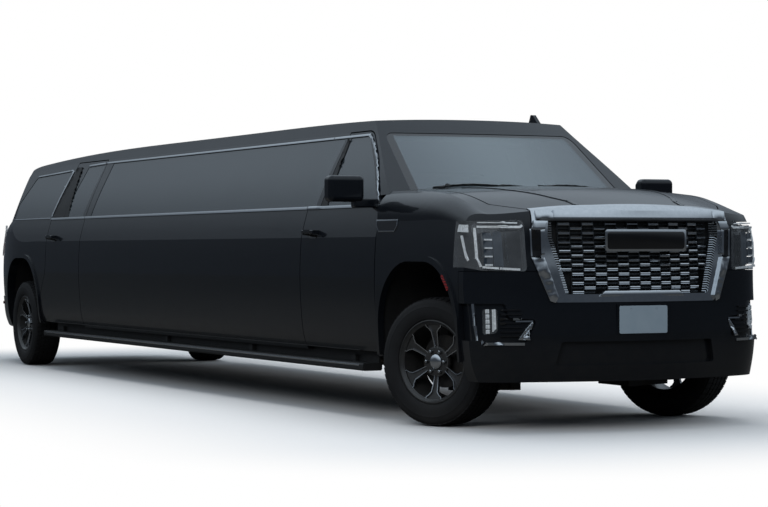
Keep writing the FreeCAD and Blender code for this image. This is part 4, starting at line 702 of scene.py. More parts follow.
def both_sides(piece, body, finish, smooth=40):
    """Finishes a right-hand piece and its mirror image on the left."""
    left_name = piece.name.replace("right", "left")
    twin = copied(piece, left_name, MIRROR)
    finished(piece, body, finish, smooth)
    finished(twin, body.replace("right", "left"), finish, smooth)


print("modelling tools ready")

# %% [markdown]
# Lines come next. A single vertex is extruded from point to point, and the chain of edges is then turned
# about an axis for a wheel, filled for a plate, or made a curve with a round section for a bar or a
# moulding.

# %% Chains, turned shapes, plates and bars


def chain(name, points, closed=False):
    """A chain of edges through the points, drawn by extruding one vertex."""
    clear()
    points = [Vector(point) for point in points]
    bpy.ops.mesh.primitive_plane_add(size=0.01, location=(0, 0, 0))
    line = bpy.context.object
    line.name = name
    with editing(line, "VERT"):
        bpy.ops.mesh.merge(type="CENTER")
        bpy.ops.transform.translate(value=points[0])
        steps = list(zip(points, points[1:] + points[:1] if closed else points[1:]))
        for here, there in steps:
            bpy.ops.mesh.extrude_vertices_move(TRANSFORM_OT_translate={"value": there - here})
        bpy.ops.mesh.select_all(action="SELECT")
        bpy.ops.mesh.remove_doubles(threshold=0.00001)
    return line


def turned(name, outline, steps):
    """A closed outline of (radius, along) points spun about the Y axis."""
    shape = chain(name, [(radius, along, 0) for radius, along in outline], closed=True)
    with editing(shape, "VERT"):
        bpy.ops.mesh.spin(steps=steps, angle=math.tau, center=(0, 0, 0), axis=(0, 1, 0))
        bpy.ops.mesh.select_all(action="SELECT")
        bpy.ops.mesh.remove_doubles(threshold=0.00002)
        bpy.ops.mesh.normals_make_consistent(inside=False)
    return shape


def plate(name, outline, depth):
    """A closed outline of points filled with one face and given a depth, which is a vector."""
    shape = chain(name, outline, closed=True)
    with editing(shape, "VERT"):
        bpy.ops.mesh.edge_face_add()
        bpy.ops.mesh.extrude_region_move(TRANSFORM_OT_translate={"value": depth})
        bpy.ops.mesh.select_all(action="SELECT")
        bpy.ops.mesh.normals_make_consistent(inside=False)
    return shape


def bar(name, path, radius, sides):
    """A round bar along a path: a chain made a curve, given a bevel and made a mesh again."""
    shape = hold(chain(name, path))
    bpy.ops.object.convert(target="CURVE")
    shape = bpy.context.object
    shape.data.bevel_depth = radius
    shape.data.bevel_resolution = sides
    shape.data.use_fill_caps = True
    bpy.ops.object.convert(target="MESH")
    shape = bpy.context.object
    shape.name = name
    return outward(shape)


def box(name, low, high):
    """A block between two corners."""
    clear()
    low, high = Vector(low), Vector(high)
    bpy.ops.mesh.primitive_cube_add(size=1, location=(low + high) / 2, scale=high - low)
    block = bpy.context.object
    block.name = name
    return settle(block)


print("lines and plates ready")

# %% [markdown]
# Trim that lies on a panel has to follow the panel's curve. A fine grid is laid over the place, planes
# cut it to its outline, a Shrinkwrap presses it onto the panel and a Solidify gives it a thickness. A
# ribbon is a row of such patches with mitred ends.

# %% Pressed patches and ribbons


def inside_turn(outline):
    """1 when a flat outline runs anticlockwise and -1 when it runs clockwise."""
    area = sum(a[0] * b[1] - b[0] * a[1] for a, b in zip(outline, outline[1:] + outline[:1]))
    return 1 if area > 0 else -1


FACING = {"X": Vector((1, 0, 0)), "-X": Vector((-1, 0, 0)), "-Y": Vector((0, -1, 0)), "Z": Vector((0, 0, 1))}
FLAT_AXES = {"X": (1, 2), "-X": (1, 2), "-Y": (0, 2), "Z": (0, 1)}
FLAT_TURNS = {"X": (math.radians(90), 0, math.radians(90)), "-Y": (math.radians(90), 0, 0), "Z": (0, 0, 0)}
FLAT_TURNS["-X"] = FLAT_TURNS["X"]
START_AWAY = 8.0
STILL_AWAY = 7.0
NEAR_REACH = 0.035
SEAM_DROP = 0.006
GRID_MARGIN = 0.002
SPACING = 0.012


def calmed(patch, facing):
    """Brings the points that fell into a seam, or met nothing, to the level of their neighbours."""
    points = [vertex.co.copy() for vertex in patch.data.vertices]
    flat = [point - facing * point.dot(facing) for point in points]
    known = [i for i, point in enumerate(points) if point.dot(facing) < STILL_AWAY]
    if not known:
        raise ValueError(f"{patch.name} meets nothing")
    tree = KDTree(len(known))
    for i in known:
        tree.insert(flat[i], i)
    tree.balance()
    for i, point in enumerate(points):
        near = tree.find_range(flat[i], NEAR_REACH) or [tree.find(flat[i])]
        levels = sorted(points[j].dot(facing) for _, j, _ in near)
        level = levels[int(len(levels) * 0.65)]
        if point.dot(facing) < level - SEAM_DROP or point.dot(facing) >= STILL_AWAY:
            patch.data.vertices[i].co += facing * (level - point.dot(facing))


def pressed(name, outline, target, side, thickness, spacing=SPACING, lift=0.0):
    """A convex outline pressed onto a node, as seen from one side: X nose, -X tail, -Y right side, Z above.

    The outline is in the two coordinates that are left: (y, z), (x, z) or (x, y).
    """
    facing = FACING[side]
    first, second = FLAT_AXES[side]
    us = [u for u, v in outline]
    vs = [v for u, v in outline]
    wide = max(us) - min(us) + GRID_MARGIN
    high = max(vs) - min(vs) + GRID_MARGIN
    place = facing * START_AWAY
    place[first], place[second] = (min(us) + max(us)) / 2, (min(vs) + max(vs)) / 2
    clear()
    bpy.ops.mesh.primitive_grid_add(
        x_subdivisions=max(2, int(wide / spacing)), y_subdivisions=max(2, int(high / spacing)),
        size=1, location=place, rotation=FLAT_TURNS[side],
    )
    patch = bpy.context.object
    patch.name = name
    patch.scale = (wide, high, 1)
    settle(patch)
    spin = inside_turn(outline)
    with editing(patch, "VERT"):
        for (u, v), (next_u, next_v) in zip(outline, outline[1:] + outline[:1]):
            point, away = Vector(), Vector()
            point[first], point[second] = u, v
            away[first], away[second] = (next_v - v) * spin, -(next_u - u) * spin
            bpy.ops.mesh.select_all(action="SELECT")
            bpy.ops.mesh.bisect(
                plane_co=point, plane_no=away.normalized(), clear_outer=True, threshold=0.00001,
            )
    wrap = patch.modifiers.new("press", "SHRINKWRAP")
    wrap.target = nodes[target] if isinstance(target, str) else target
    wrap.wrap_method = "PROJECT"
    wrap.use_project_x = side in ("X", "-X")
    wrap.use_project_y = side == "-Y"
    wrap.use_project_z = side == "Z"
    wrap.use_negative_direction = True
    wrap.use_positive_direction = True
    settle(patch)
    calmed(patch, facing)
    with editing(patch, "FACE"):
        if sum(face.normal.dot(facing) for face in patch.data.polygons) < 0:
            bpy.ops.mesh.flip_normals()
    wall = patch.modifiers.new("wall", "SOLIDIFY")
    wall.thickness = thickness
    wall.offset = 1 + 2 * lift / thickness
    return settle(patch)


def ribbon_outlines(path, width):
    """The mitred four-cornered outlines of a flat ribbon along a path of (u, v) points."""
    points = [Vector(point) for point in path]
    sides = []
    for i, point in enumerate(points):
        before = (point - points[i - 1]).normalized() if i else None
        after = (points[i + 1] - point).normalized() if i + 1 < len(points) else None
        along = (before + after).normalized() if before and after else (before or after)
        normal = Vector((-along.y, along.x))
        reach = width / 2 / normal.dot(Vector((-after.y, after.x))) if before and after else width / 2
        sides.append((point + normal * reach, point - normal * reach))
    return [[tuple(a[0]), tuple(b[0]), tuple(b[1]), tuple(a[1])] for a, b in zip(sides, sides[1:])]


def pressed_ribbon(name, path, width, target, side, thickness, spacing=SPACING, lift=0.0):
    """A flat ribbon along a path, pressed onto a node."""
    parts = [
        pressed(f"{name}_{i}", outline, target, side, thickness, spacing, lift)
        for i, outline in enumerate(ribbon_outlines(path, width))
    ]
    return joined(name, parts)


def skin_of(name, *sources):
    """A passing copy of several nodes as one mesh, for pressing trim over their seams."""
    twins = [copied(nodes[source], f"{name}_{source}", Matrix()) for source in sources]
    skin = joined(name, twins)
    passing.append(skin)
    return skin


passing = []
print("patches and ribbons ready")

# %% [markdown]
# ## The long sides
#
# The first thing seen on the real car is a bright line: chrome under all the side windows, chrome over
# them, and a curve up the windscreen pillar. It runs over several panels. So the panels are copied into
# one passing skin, each strip is pressed onto it, and points that fall into a seam are lifted to their
# neighbours' level.

# %% Chrome round the windows
BACK_DOOR_FRONT = REAR + 1.780
BACK_DOOR_REAR = REAR + 0.790
side_skin = skin_of(
    "side_skin", "front_door_right", "rear_door_right", "stretch_sides", "rear_quarters", "front_fenders",
    "front_door_glass_right", "rear_door_glass_right", "side_glass",
)
BELT_Z = 1.3795
HEAD_Z = 1.8655

pillar_line = [
    (FRONT - 0.668, 1.392), (FRONT - 0.790, 1.540), (FRONT - 0.925, 1.672), (FRONT - 1.070, 1.783),
    (FRONT - 1.215, HEAD_Z),
]
head_line = [(FRONT - 1.215, HEAD_Z), (BACK_DOOR_FRONT, HEAD_Z), (BACK_DOOR_REAR + 0.500, HEAD_Z - 0.010)]
tail_line = [(BACK_DOOR_REAR + 0.070, HEAD_Z - 0.037), (REAR - 0.180, HEAD_Z - 0.066)]
belt_line = [(FRONT - 0.668, BELT_Z), (BACK_DOOR_REAR - 0.020, BELT_Z)]
quarter_line = [(BACK_DOOR_REAR - 0.040, BELT_Z + 0.008), (REAR - 0.565, BELT_Z + 0.008)]
band_line = [(BACK_DOOR_REAR - 0.010, 1.400), (BACK_DOOR_REAR + 0.108, 1.826)]

strips = [
    ("window_chrome_pillar_right", pillar_line, 0.020, 0.006),
    ("window_chrome_head_right", head_line, 0.014, 0.006),
    ("window_chrome_tail_right", tail_line, 0.012, 0.006),
    ("window_chrome_belt_right", belt_line, 0.019, 0.008),
    ("window_chrome_quarter_right", quarter_line, 0.010, 0.006),
]
chrome_parts = []
for name, path, width, thickness in strips:
    chrome_parts.append(pressed_ribbon(name, path, width, side_skin, "-Y", thickness, spacing=0.03))
side_chrome = softened(joined("window_chrome_right", chrome_parts), 0.0042, 3, 60)
print("window chrome", len(side_chrome.data.polygons), "faces")

# %% [markdown]
# The doors swing, and their share of the chrome has to go with them. So the joined strip is copied and
# sliced by the doors' upright seams: what lies inside a door rides with the door and the rest stays on
# the body. A band on the last pillar closes the line.

# %% Split the chrome at the doors


def between(piece, name, x_low, x_high):
    """A closed copy of what lies between two x values."""
    part = copied(piece, name, Matrix())
    with editing(part, "VERT"):
        for x, sign in ((x_low, -1), (x_high, 1)):
            bpy.ops.mesh.select_all(action="SELECT")
            bpy.ops.mesh.bisect(
                plane_co=(x, 0, 0), plane_no=(sign, 0, 0), clear_outer=True, use_fill=True, threshold=0.00001,
            )
    return part


DOOR_HALF_GAP = 0.0045
front_cut = FRONT - 1.800 + DOOR_HALF_GAP
back_cut = BACK_DOOR_REAR + DOOR_HALF_GAP
spans = [
    ("door_chrome_front_right", front_cut, FRONT, "front_door_right"),
    ("stretch_chrome_right", BACK_DOOR_FRONT + DOOR_HALF_GAP, front_cut - 2 * DOOR_HALF_GAP, "chassis"),
    ("door_chrome_rear_right", back_cut, BACK_DOOR_FRONT - DOOR_HALF_GAP, "rear_door_right"),
    ("quarter_chrome_right", REAR - 2, back_cut - 2 * DOOR_HALF_GAP, "chassis"),
]
for name, low, high, body in spans:
    both_sides(between(side_chrome, name, low, high), body, "chrome")
bpy.data.objects.remove(side_chrome, do_unlink=True)
band = pressed_ribbon("pillar_band_right", band_line, 0.034, side_skin, "-Y", 0.006)
trimmed(band, "chassis", "chrome", 0.002)

# %% [markdown]
# The door pillars are black from the belt to the roof. Each is a thin panel pressed onto the side skin,
# and it rides with its own door.

# %% Black pillars
POST_HEAD_X = FRONT - 1.560
POST_FOOT_X = FRONT - 1.590
FOOT_Z, TOP_Z = 1.394, 1.852
PILLARS = {
    "front": [
        (POST_HEAD_X + 0.034, TOP_Z), (POST_HEAD_X + 0.006, TOP_Z),
        (POST_FOOT_X + 0.006, FOOT_Z), (POST_FOOT_X + 0.104, FOOT_Z),
    ],
    "rear": [
        (BACK_DOOR_REAR + 0.326, TOP_Z), (BACK_DOOR_REAR + 0.190, TOP_Z),
        (BACK_DOOR_REAR + 0.026, FOOT_Z), (BACK_DOOR_REAR + 0.476, FOOT_Z),
    ],
}
for name, outline in PILLARS.items():
    pillar = pressed(f"pillar_{name}_right", outline, side_skin, "-Y", 0.0025, 0.025)
    both_sides(pillar, f"{name}_door_right", "trim_plastic")

# %% [markdown]
# ## The nose
#
# The grille is the brightest thing on the car: a chrome frame with a bar over it, dark inlays at its
# upper corners, a comb of short fins down each side and a woven mesh whose wide bright links alternate
# with darker ones set back behind them. All of it follows the nose's bow, so the frame is pressed onto a
# passing copy of the nose.

# %% The nose's passing skin and the grille's frame
nose_skin = skin_of(
    "nose_skin", "front_fenders", "headlamps", "front_bumper", "grille_surround", "hood", "cowl",
)

# Each corner is (y, z) on the right-hand half.
FRAME_CAP = [(-0.700, 1.214), (-0.684, 1.262), (-0.597, 1.262), (-0.618, 1.208)]
FRAME_LINE = [(-0.699, 1.214), (-0.694, 1.044)]
FRAME_INNER = [(-0.643, 1.208), (-0.618, 1.212), (-0.621, 1.062), (-0.640, 1.056)]
FRAME_LEG = [(-0.697, 1.044), (-0.624, 1.044), (-0.545, 0.812), (-0.560, 0.781), (-0.592, 0.787)]
FRAME_INLAY = [(-0.696, 1.212), (-0.642, 1.208), (-0.640, 1.052), (-0.690, 1.048)]
FRAME_SPACING = 0.016
frame_parts = [
    pressed("cap", FRAME_CAP, nose_skin, "X", 0.014, FRAME_SPACING),
    pressed("inner", FRAME_INNER, nose_skin, "X", 0.016, FRAME_SPACING),
    pressed("leg", FRAME_LEG, nose_skin, "X", 0.016, FRAME_SPACING),
    pressed_ribbon("line", FRAME_LINE, 0.009, nose_skin, "X", 0.012),
]
both_sides(softened(joined("grille_frame_right", frame_parts), 0.003, 2), "chassis", "chrome")
inlay = pressed("grille_inlay_right", FRAME_INLAY, nose_skin, "X", 0.006, FRAME_SPACING)
both_sides(inlay, "chassis", "gloss_black")

# %% [markdown]
# A wide chrome bar closes the grille at the top, and a thin dark slot separates it from the frame. The
# foot of the frame has a raised step in the middle.

# %% The bar, the slot and the step
bar_path = [(-0.668, 1.296), (-0.560, 1.302), (0.560, 1.302), (0.668, 1.296)]
bar_face = pressed_ribbon("grille_bar", bar_path, 0.052, nose_skin, "X", 0.014, 0.02)
finished(softened(bar_face, 0.004, 2), "chassis", "chrome")
slot_path = [(-0.664, 1.267), (0.664, 1.267)]
slot = pressed_ribbon("grille_slot", slot_path, 0.011, nose_skin, "X", 0.0165, 0.02)
finished(slot, "chassis", "gloss_black")
STEP_FACE_X = FRONT + 0.992
STEP_DEPTH = 0.075
step_outline = [(-0.300, 0.812), (-0.262, 0.846), (0.262, 0.846), (0.300, 0.812)]
step_seat = plate("grille_step", [(STEP_FACE_X, y, z) for y, z in step_outline], (-STEP_DEPTH, 0, 0))
finished(softened(step_seat, 0.006, 2), "chassis", "chrome")

# %% [markdown]
# ## The woven mesh
#
# One bright link and one dark link are modelled as small chamfered bars, and each is copied to every
# second place of every row, with the rows staggered. Each copy is turned to face along the bow. Thin
# uprights stand where links meet, and a dark bowed plate closes the view behind.

# %% Links, uprights and the plate behind
MESH_PITCH_Y = 0.0745
MESH_PITCH_Z = 0.0272
MESH_FOOT = 0.836
MESH_TOP = 1.258
BOW = 2.160
STEP_HALF = 0.30
STEP_TOP = 0.86
mesh_rows = int((MESH_TOP - MESH_FOOT) / MESH_PITCH_Z) + 1


def mesh_half(z):
    """Half the width that the links fill at a height."""
    return 0.455 + min(1.0, (z - MESH_FOOT) / 0.33) * 0.088


def mesh_front(y, z):
    """How far forward the mesh stands; it bows in plan and leans back with the nose."""
    lean = 0.034 * max(0.0, (z - 0.760) / 0.5) ** 1.5
    return FRONT + 0.968 - lean - BOW + math.sqrt(BOW ** 2 - y ** 2)


def link(name, wide, high, deep):
    """A small bar with its front edges chamfered, at the origin, facing +X."""
    part = box(name, (-deep, -wide / 2, -high / 2), (0, wide / 2, high / 2))
    with editing(part, "FACE"):
        pick(part, lambda centre, normal: normal.x > 0.9)
        bpy.ops.mesh.inset(thickness=high * 0.28, depth=high * 0.22)
    return part


def placed_on_bow(seed, name, y, z, back):
    """A copy of a seed on the bow at a height, turned to face out."""
    turn = math.atan2(y, math.sqrt(BOW ** 2 - y ** 2))
    where = Matrix.Translation((mesh_front(y, z) - back, y, z)) @ Matrix.Rotation(turn, 4, "Z")
    return copied(seed, name, where)


bright_seed = link("bright_seed", MESH_PITCH_Y * 0.97, 0.0150, 0.022)
dark_seed = link("dark_seed", MESH_PITCH_Y * 0.99, 0.0075, 0.012)
upright_seed = box("upright_seed", (-0.020, -0.0022, -MESH_PITCH_Z / 2), (-0.001, 0.0022, MESH_PITCH_Z / 2))
bright_links, dark_links = [], []
for row in range(mesh_rows):
    z = MESH_FOOT + row * MESH_PITCH_Z
    count = int(mesh_half(z) / MESH_PITCH_Y + 1)
    for column in range(-count, count + 1):
        y = (column + 0.5) * MESH_PITCH_Y
        if abs(y) > mesh_half(z):
            continue
        if abs(y) < STEP_HALF and z < STEP_TOP:
            continue
        if (row + column) % 2 == 0:
            bright_links.append(placed_on_bow(bright_seed, "link", y, z, 0.0))
        else:
            dark_links.append(placed_on_bow(dark_seed, "link", y, z, 0.010))
        joint_y = y - MESH_PITCH_Y / 2
        joint_z = z + MESH_PITCH_Z / 2
        dark_links.append(placed_on_bow(upright_seed, "link", joint_y, joint_z, 0.006))
mesh_bright = joined("grille_links_bright", bright_links)
mesh_dark = joined("grille_links_dark", dark_links)
finished(mesh_bright, "chassis", "chrome", 20)
finished(mesh_dark, "chassis", "dark_chrome", 20)
for seed in (bright_seed, dark_seed, upright_seed):
    bpy.data.objects.remove(seed, do_unlink=True)

BACK_FOOT = 0.815
BACK_HEIGHT = 0.455
BACK_THICK = 0.006
back_path = [(y, mesh_front(y, 0.9) - FRONT - 0.05) for y in [i * 0.1 for i in range(-6, 7)]]
back_outline = [(FRONT + x, y, BACK_FOOT) for y, x in back_path]
back_outline += [(FRONT + x - BACK_THICK, y, BACK_FOOT) for y, x in reversed(back_path)]
finished(plate("grille_back", back_outline, (0, 0, BACK_HEIGHT)), "chassis", "trim_plastic")
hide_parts("grille_mesh")
print("links", len(bright_links), "bright and", len(dark_links), "dark")

# %% [markdown]
# The comb of fins between the mesh and the frame is one fin, copied up each side. A plain dark plaque in
# a chrome rim hangs in the mesh.

# %% Fins and the plaque
FIN_COUNT = 30
FIN_PITCH = 0.0142
fin_seed = link("fin_seed", 0.052, 0.0085, 0.030)
fins = []
for i in range(FIN_COUNT):
    z = MESH_FOOT + 0.002 + i * FIN_PITCH
    y = -(mesh_half(z) + 0.012 + 0.026)
    fins.append(placed_on_bow(fin_seed, "fin", y, z, 0.004))
bpy.data.objects.remove(fin_seed, do_unlink=True)
both_sides(joined("grille_fins_right", fins), "chassis", "chrome", 20)


def rounded_outline(half_wide, half_high, radius, steps=5):
    """Corners of a rounded rectangle about the origin."""
    points = []
    for corner, (sign_u, sign_v) in enumerate(((1, 1), (-1, 1), (-1, -1), (1, -1))):
        for i in range(steps + 1):
            angle = math.radians(90 * corner + 90 * i / steps)
            u = sign_u * (half_wide - radius) + radius * math.cos(angle)
            v = sign_v * (half_high - radius) + radius * math.sin(angle)
            points.append((u, v))
    return points


PLAQUE_Y, PLAQUE_Z = 0.036, 1.146
plaque_x = FRONT + 0.966
for name, half_wide, half_high, forward, finish in (
    ("plaque_rim", 0.287, 0.066, 0.008, "chrome"), ("plaque_field", 0.272, 0.053, 0.010, "gloss_black"),
):
    corners = rounded_outline(half_wide, half_high, 0.018)
    outline = [(plaque_x, PLAQUE_Y + u, PLAQUE_Z + v) for u, v in corners]
    part = plate(name, outline, (forward, 0, 0))
    finished(softened(part, 0.003, 2, 60), "chassis", finish)

# %% [markdown]
# ## The headlamps
#
# A headlamp is a clear lens over a dark box. Just behind the lens runs a bright bracket, open towards the
# grille, and inside it stand a stack of four projectors with bright ledges, a smooth blind and a dark end
# wall. The frame already holds the lens as a block, so the inside is laid in behind its face: each patch
# is pressed onto the lens and then pushed back by its own depth.

# %% Headlamp inside
LAMP_FIELD = [(-0.998, 1.012), (-0.998, 1.258), (-0.738, 1.262), (-0.728, 0.970), (-0.955, 0.976)]
BRACKET_TOP = [(-0.742, 1.236), (-0.756, 1.226), (-0.978, 1.228)]
BRACKET_SIDE = [(-0.982, 1.222), (-0.986, 1.140), (-0.984, 1.040), (-0.966, 0.990)]
BRACKET_FOOT = [(-0.966, 0.989), (-0.880, 0.981), (-0.762, 0.974)]
LAMP_LINE = [(-0.972, 1.254), (-0.768, 1.250)]


def lamp_patch(name, outline, depth, finish, thickness=0.004):
    """A patch behind the right-hand lens, and its mirror image."""
    patch = pressed(name, outline, "headlamps", "X", thickness, 0.014, -depth)
    both_sides(patch, "chassis", finish)


def lamp_ribbon(name, path, width, depth, finish, thickness=0.006):
    """A ribbon behind the right-hand lens, and its mirror image."""
    ribbon = pressed_ribbon(name, path, width, "headlamps", "X", thickness, 0.010, -depth)
    both_sides(ribbon, "chassis", finish)


lamp_patch("lamp_wall_right", LAMP_FIELD, 0.060, "gloss_black")
for name, path in (("top", BRACKET_TOP), ("side", BRACKET_SIDE), ("foot", BRACKET_FOOT)):
    lamp_ribbon(f"lamp_bracket_{name}_right", path, 0.013, 0.004, "lamp_light")
lamp_ribbon("lamp_line_right", LAMP_LINE, 0.006, 0.005, "lamp_light")

STACK_OUT, STACK_IN = -0.960, -0.912
STACK_FOOT, STACK_STEP = 1.000, 0.050
for i in range(4):
    low = STACK_FOOT + i * STACK_STEP
    box_face = [(STACK_OUT, low), (STACK_OUT, low + 0.044), (STACK_IN, low + 0.044), (STACK_IN, low)]
    lamp_patch(f"lamp_projector_{i}_right", box_face, 0.028, "lamp_blue", 0.018)
    ledge = [(STACK_OUT + 0.004, low + 0.002), (STACK_IN, low + 0.002)]
    lamp_ribbon(f"lamp_ledge_{i}_right", ledge, 0.009, 0.014, "lamp_light", 0.010)
BLIND = [(-0.910, 0.996), (-0.910, 1.200), (-0.862, 1.200), (-0.852, 0.992)]
SEAM = [(-0.842, 1.198), (-0.836, 1.100), (-0.826, 1.010)]
lamp_patch("lamp_blind_right", BLIND, 0.030, "lamp_blue")
lamp_ribbon("lamp_seam_right", SEAM, 0.005, 0.022, "dark_chrome")

# %% [markdown]
# Round the corner the lens carries a side marker: a bright upper block and a slender blade that leans
# forward. These face the side, so they are pressed from that direction.

# %% Side markers
MARKERS = {
    "block": [(0.525, 1.200), (0.535, 1.244), (0.640, 1.240), (0.650, 1.196)],
    "blade": [(0.566, 1.176), (0.590, 1.178), (0.676, 1.030), (0.660, 1.024)],
}
for name, corners in MARKERS.items():
    outline = [(FRONT + ahead_of_axle, z) for ahead_of_axle, z in corners]
    part = pressed(f"lamp_marker_{name}_right", outline, "headlamps", "-Y", 0.006, 0.012, -0.008)
    both_sides(part, "chassis", "lamp_light")

# %% [markdown]
# ## Fog lamps, bumper and plate
#
# Below each headlamp the bumper has a pocket with a stack of five small lamps, black blades beside it and
# a bright moulding that runs down, across and up again like a flag on its staff. The staff turns with the
# corner, so it is pressed from the side and the rest from ahead. The plate is blank.

# %% Fog pocket
FLAG_LIFT = 0.014
foot = [(-0.972, 0.553), (-0.962, 0.536), (-0.745, 0.534)]
trimmed(pressed_ribbon("fog_moulding_foot_right", foot, 0.016, nose_skin, "X", 0.010), "chassis", "chrome")
staff = [(FRONT + 0.672, 0.770), (FRONT + 0.690, 0.640), (FRONT + 0.706, 0.552)]
trimmed(pressed_ribbon("fog_moulding_staff_right", staff, 0.016, nose_skin, "-Y", 0.008), "chassis", "chrome")
flag_outline = [(-0.772, 0.558), (-0.728, 0.620), (-0.690, 0.662), (-0.682, 0.655), (-0.716, 0.558)]
flag = pressed("fog_flag_right", flag_outline, "front_bumper", "X", 0.010, SPACING, FLAG_LIFT)
trimmed(flag, "chassis", "chrome", 0.002)
flag_head = [(-0.785, 0.667), (-0.684, 0.667)]
head = pressed_ribbon("fog_flag_head_right", flag_head, 0.009, "front_bumper", "X", 0.010, SPACING, FLAG_LIFT)
trimmed(head, "chassis", "chrome")

FOG_CELLS = 5
FOG_BLADES = 7
for i in range(FOG_CELLS):
    low = 0.594 + i * 0.030
    cell_face = [(-0.944, low), (-0.944, low + 0.025), (-0.918, low + 0.025), (-0.918, low)]
    cell = pressed(f"fog_cell_{i}_right", cell_face, "fog_lamps", "X", 0.010, 0.008)
    both_sides(softened(cell, 0.002, 2), "chassis", "lamp_light")
blade_face = [(-0.911, 0.606), (-0.911, 0.738), (-0.888, 0.738), (-0.886, 0.622)]
blade = pressed("fog_lens_right", blade_face, "fog_lamps", "X", 0.012, 0.01)
both_sides(softened(blade, 0.003, 2), "chassis", "lamp_light")
for i in range(FOG_BLADES):
    z = 0.580 + i * 0.026
    path = [(-0.872, z), (-0.742 - 0.004 * i, z)]
    blade = pressed_ribbon(f"fog_blade_{i}_right", path, 0.008, "front_bumper", "X", 0.014)
    both_sides(blade, "chassis", "gloss_black")

# %% Number plate
PLATE_Z = 0.6715
SCREW_Z = 0.735
plate_outline = [(FRONT + 0.9965, u, PLATE_Z + v) for u, v in rounded_outline(0.168, 0.083, 0.010)]
number_plate = softened(plate("number_plate", plate_outline, (0.0036, 0, 0)), 0.001, 1, 60)
finished(number_plate, "chassis", "plate_paint")
screws = []
for y in (-0.089, 0.089):
    bpy.ops.mesh.primitive_cylinder_add(
        vertices=16, radius=0.006, depth=0.002, location=(FRONT + 0.9994, y, SCREW_Z),
        rotation=(0, math.radians(90), 0),
    )
    screw = settle(bpy.context.object)
    with editing(screw, "FACE"):
        pick(screw, lambda centre, normal: normal.x > 0.9)
        bpy.ops.mesh.inset(thickness=0.002, depth=-0.0005)
    screws.append(screw)
finished(joined("plate_screws", screws), "chassis", "chrome")

# %% [markdown]
# ## The wheels
#
# Each wheel is a dark barrel with a bright six-spoke face. A spoke starts as a narrow arm at the hub and
# flares to two points at the rim, with a dark pocket sunk in its middle, so that only its edges are
# bright. One spoke is modelled as a plate, its pocket is an inset pushed in, and six copies make the
# face. Between the arms sit the nuts in dark wells, and a plain domed cap closes the hub.

# %% Rim barrel, spokes, hub and nuts
FACE_OUT = 0.0955
SPOKE_THICK = 0.020
NUT_CIRCLE = 0.0700
barrel_outline = [
    (0.254, 0.1175), (0.260, 0.116), (0.262, 0.1135), (0.256, 0.1035), (0.238, 0.101), (0.2375, 0.05),
    (0.228, 0.03), (0.228, -0.05), (0.2375, -0.07), (0.238, -0.101), (0.256, -0.1035), (0.262, -0.1135),
    (0.256, -0.1175), (0.246, -0.11), (0.224, -0.09), (0.220, -0.04), (0.220, 0.02), (0.229, 0.06),
    (0.233, 0.096), (0.248, 0.108),
]
SPOKE_HALF = [
    (0.072, 0.014), (0.100, 0.0175), (0.150, 0.0215), (0.186, 0.026), (0.205, 0.043), (0.214, 0.058),
    (0.229, 0.064), (0.240, 0.060), (0.248, 0.038), (0.246, 0.015), (0.243, 0.000),
]


def dish(radius):
    """How far the spokes' face stands out at a radius: sunk at the hub and rising to the rim."""
    sunk = 0.020 * max(0.0, 1 - abs(radius - 0.085) / 0.10)
    raised = 0.016 * max(0.0, (radius - 0.17) / 0.08)
    return FACE_OUT - 0.010 - sunk + raised


def spoke_piece():
    """One spoke along +X with its face towards +Y, with a sunk pocket in its middle."""
    right_half = [(radius, 0.0, across) for radius, across in SPOKE_HALF]
    left_half = [(radius, 0.0, -across) for radius, across in reversed(SPOKE_HALF[:-1])]
    shape = plate("spoke", right_half + left_half, (0, SPOKE_THICK, 0))
    with editing(shape, "FACE"):
        pick(shape, lambda centre, normal: normal.y > 0.9)
        bpy.ops.mesh.inset(thickness=0.0055, depth=0.0)
        bpy.ops.mesh.inset(thickness=0.0035, depth=-0.011)
    return shape


def on_dish(shape):
    """Moves every point out by the dish at its radius."""
    for vertex in shape.data.vertices:
        vertex.co.y += dish(math.hypot(vertex.co.x, vertex.co.z)) - SPOKE_THICK
    return shape


seed = on_dish(spoke_piece())
SPOKES = 6
spokes = []
for i in range(SPOKES):
    turn = math.tau * (i + 0.5) / SPOKES
    spokes.append(copied(seed, "spoke", Matrix.Rotation(turn, 4, "Y")))
bpy.data.objects.remove(seed, do_unlink=True)
spokes = joined("spokes", spokes)
spokes.data.materials.append(finishes["alloy"])
spokes.data.materials.append(finishes["alloy_pocket"])
for face in spokes.data.polygons:
    radius = math.hypot(face.center.x, face.center.z)
    depth = dish(radius) - face.center.y
    pocket = face.normal.y > 0.9 and depth > 0.006
    wall = abs(face.normal.y) < 0.5 and depth > 0.012
    face.material_index = 1 if pocket or wall else 0

hub_outline = [
    (0.0405, 0.020), (0.0405, 0.060), (0.050, 0.068), (0.078, 0.070), (0.094, 0.066), (0.098, 0.052),
    (0.090, 0.030), (0.060, 0.020),
]
hub = turned("hub", hub_outline, 48)
cap_outline = [
    (0.0, 0.052), (0.040, 0.052), (0.046, 0.060), (0.045, 0.078), (0.038, 0.083), (0.020, 0.0855),
    (0.0, 0.086),
]
cap = turned("cap", cap_outline, 40)


def peg(sides, radius, depth, place):
    """A short cylinder along Y."""
    bpy.ops.mesh.primitive_cylinder_add(
        vertices=sides, radius=radius, depth=depth, location=place, rotation=(math.radians(90), 0, 0),
    )
    return settle(bpy.context.object)


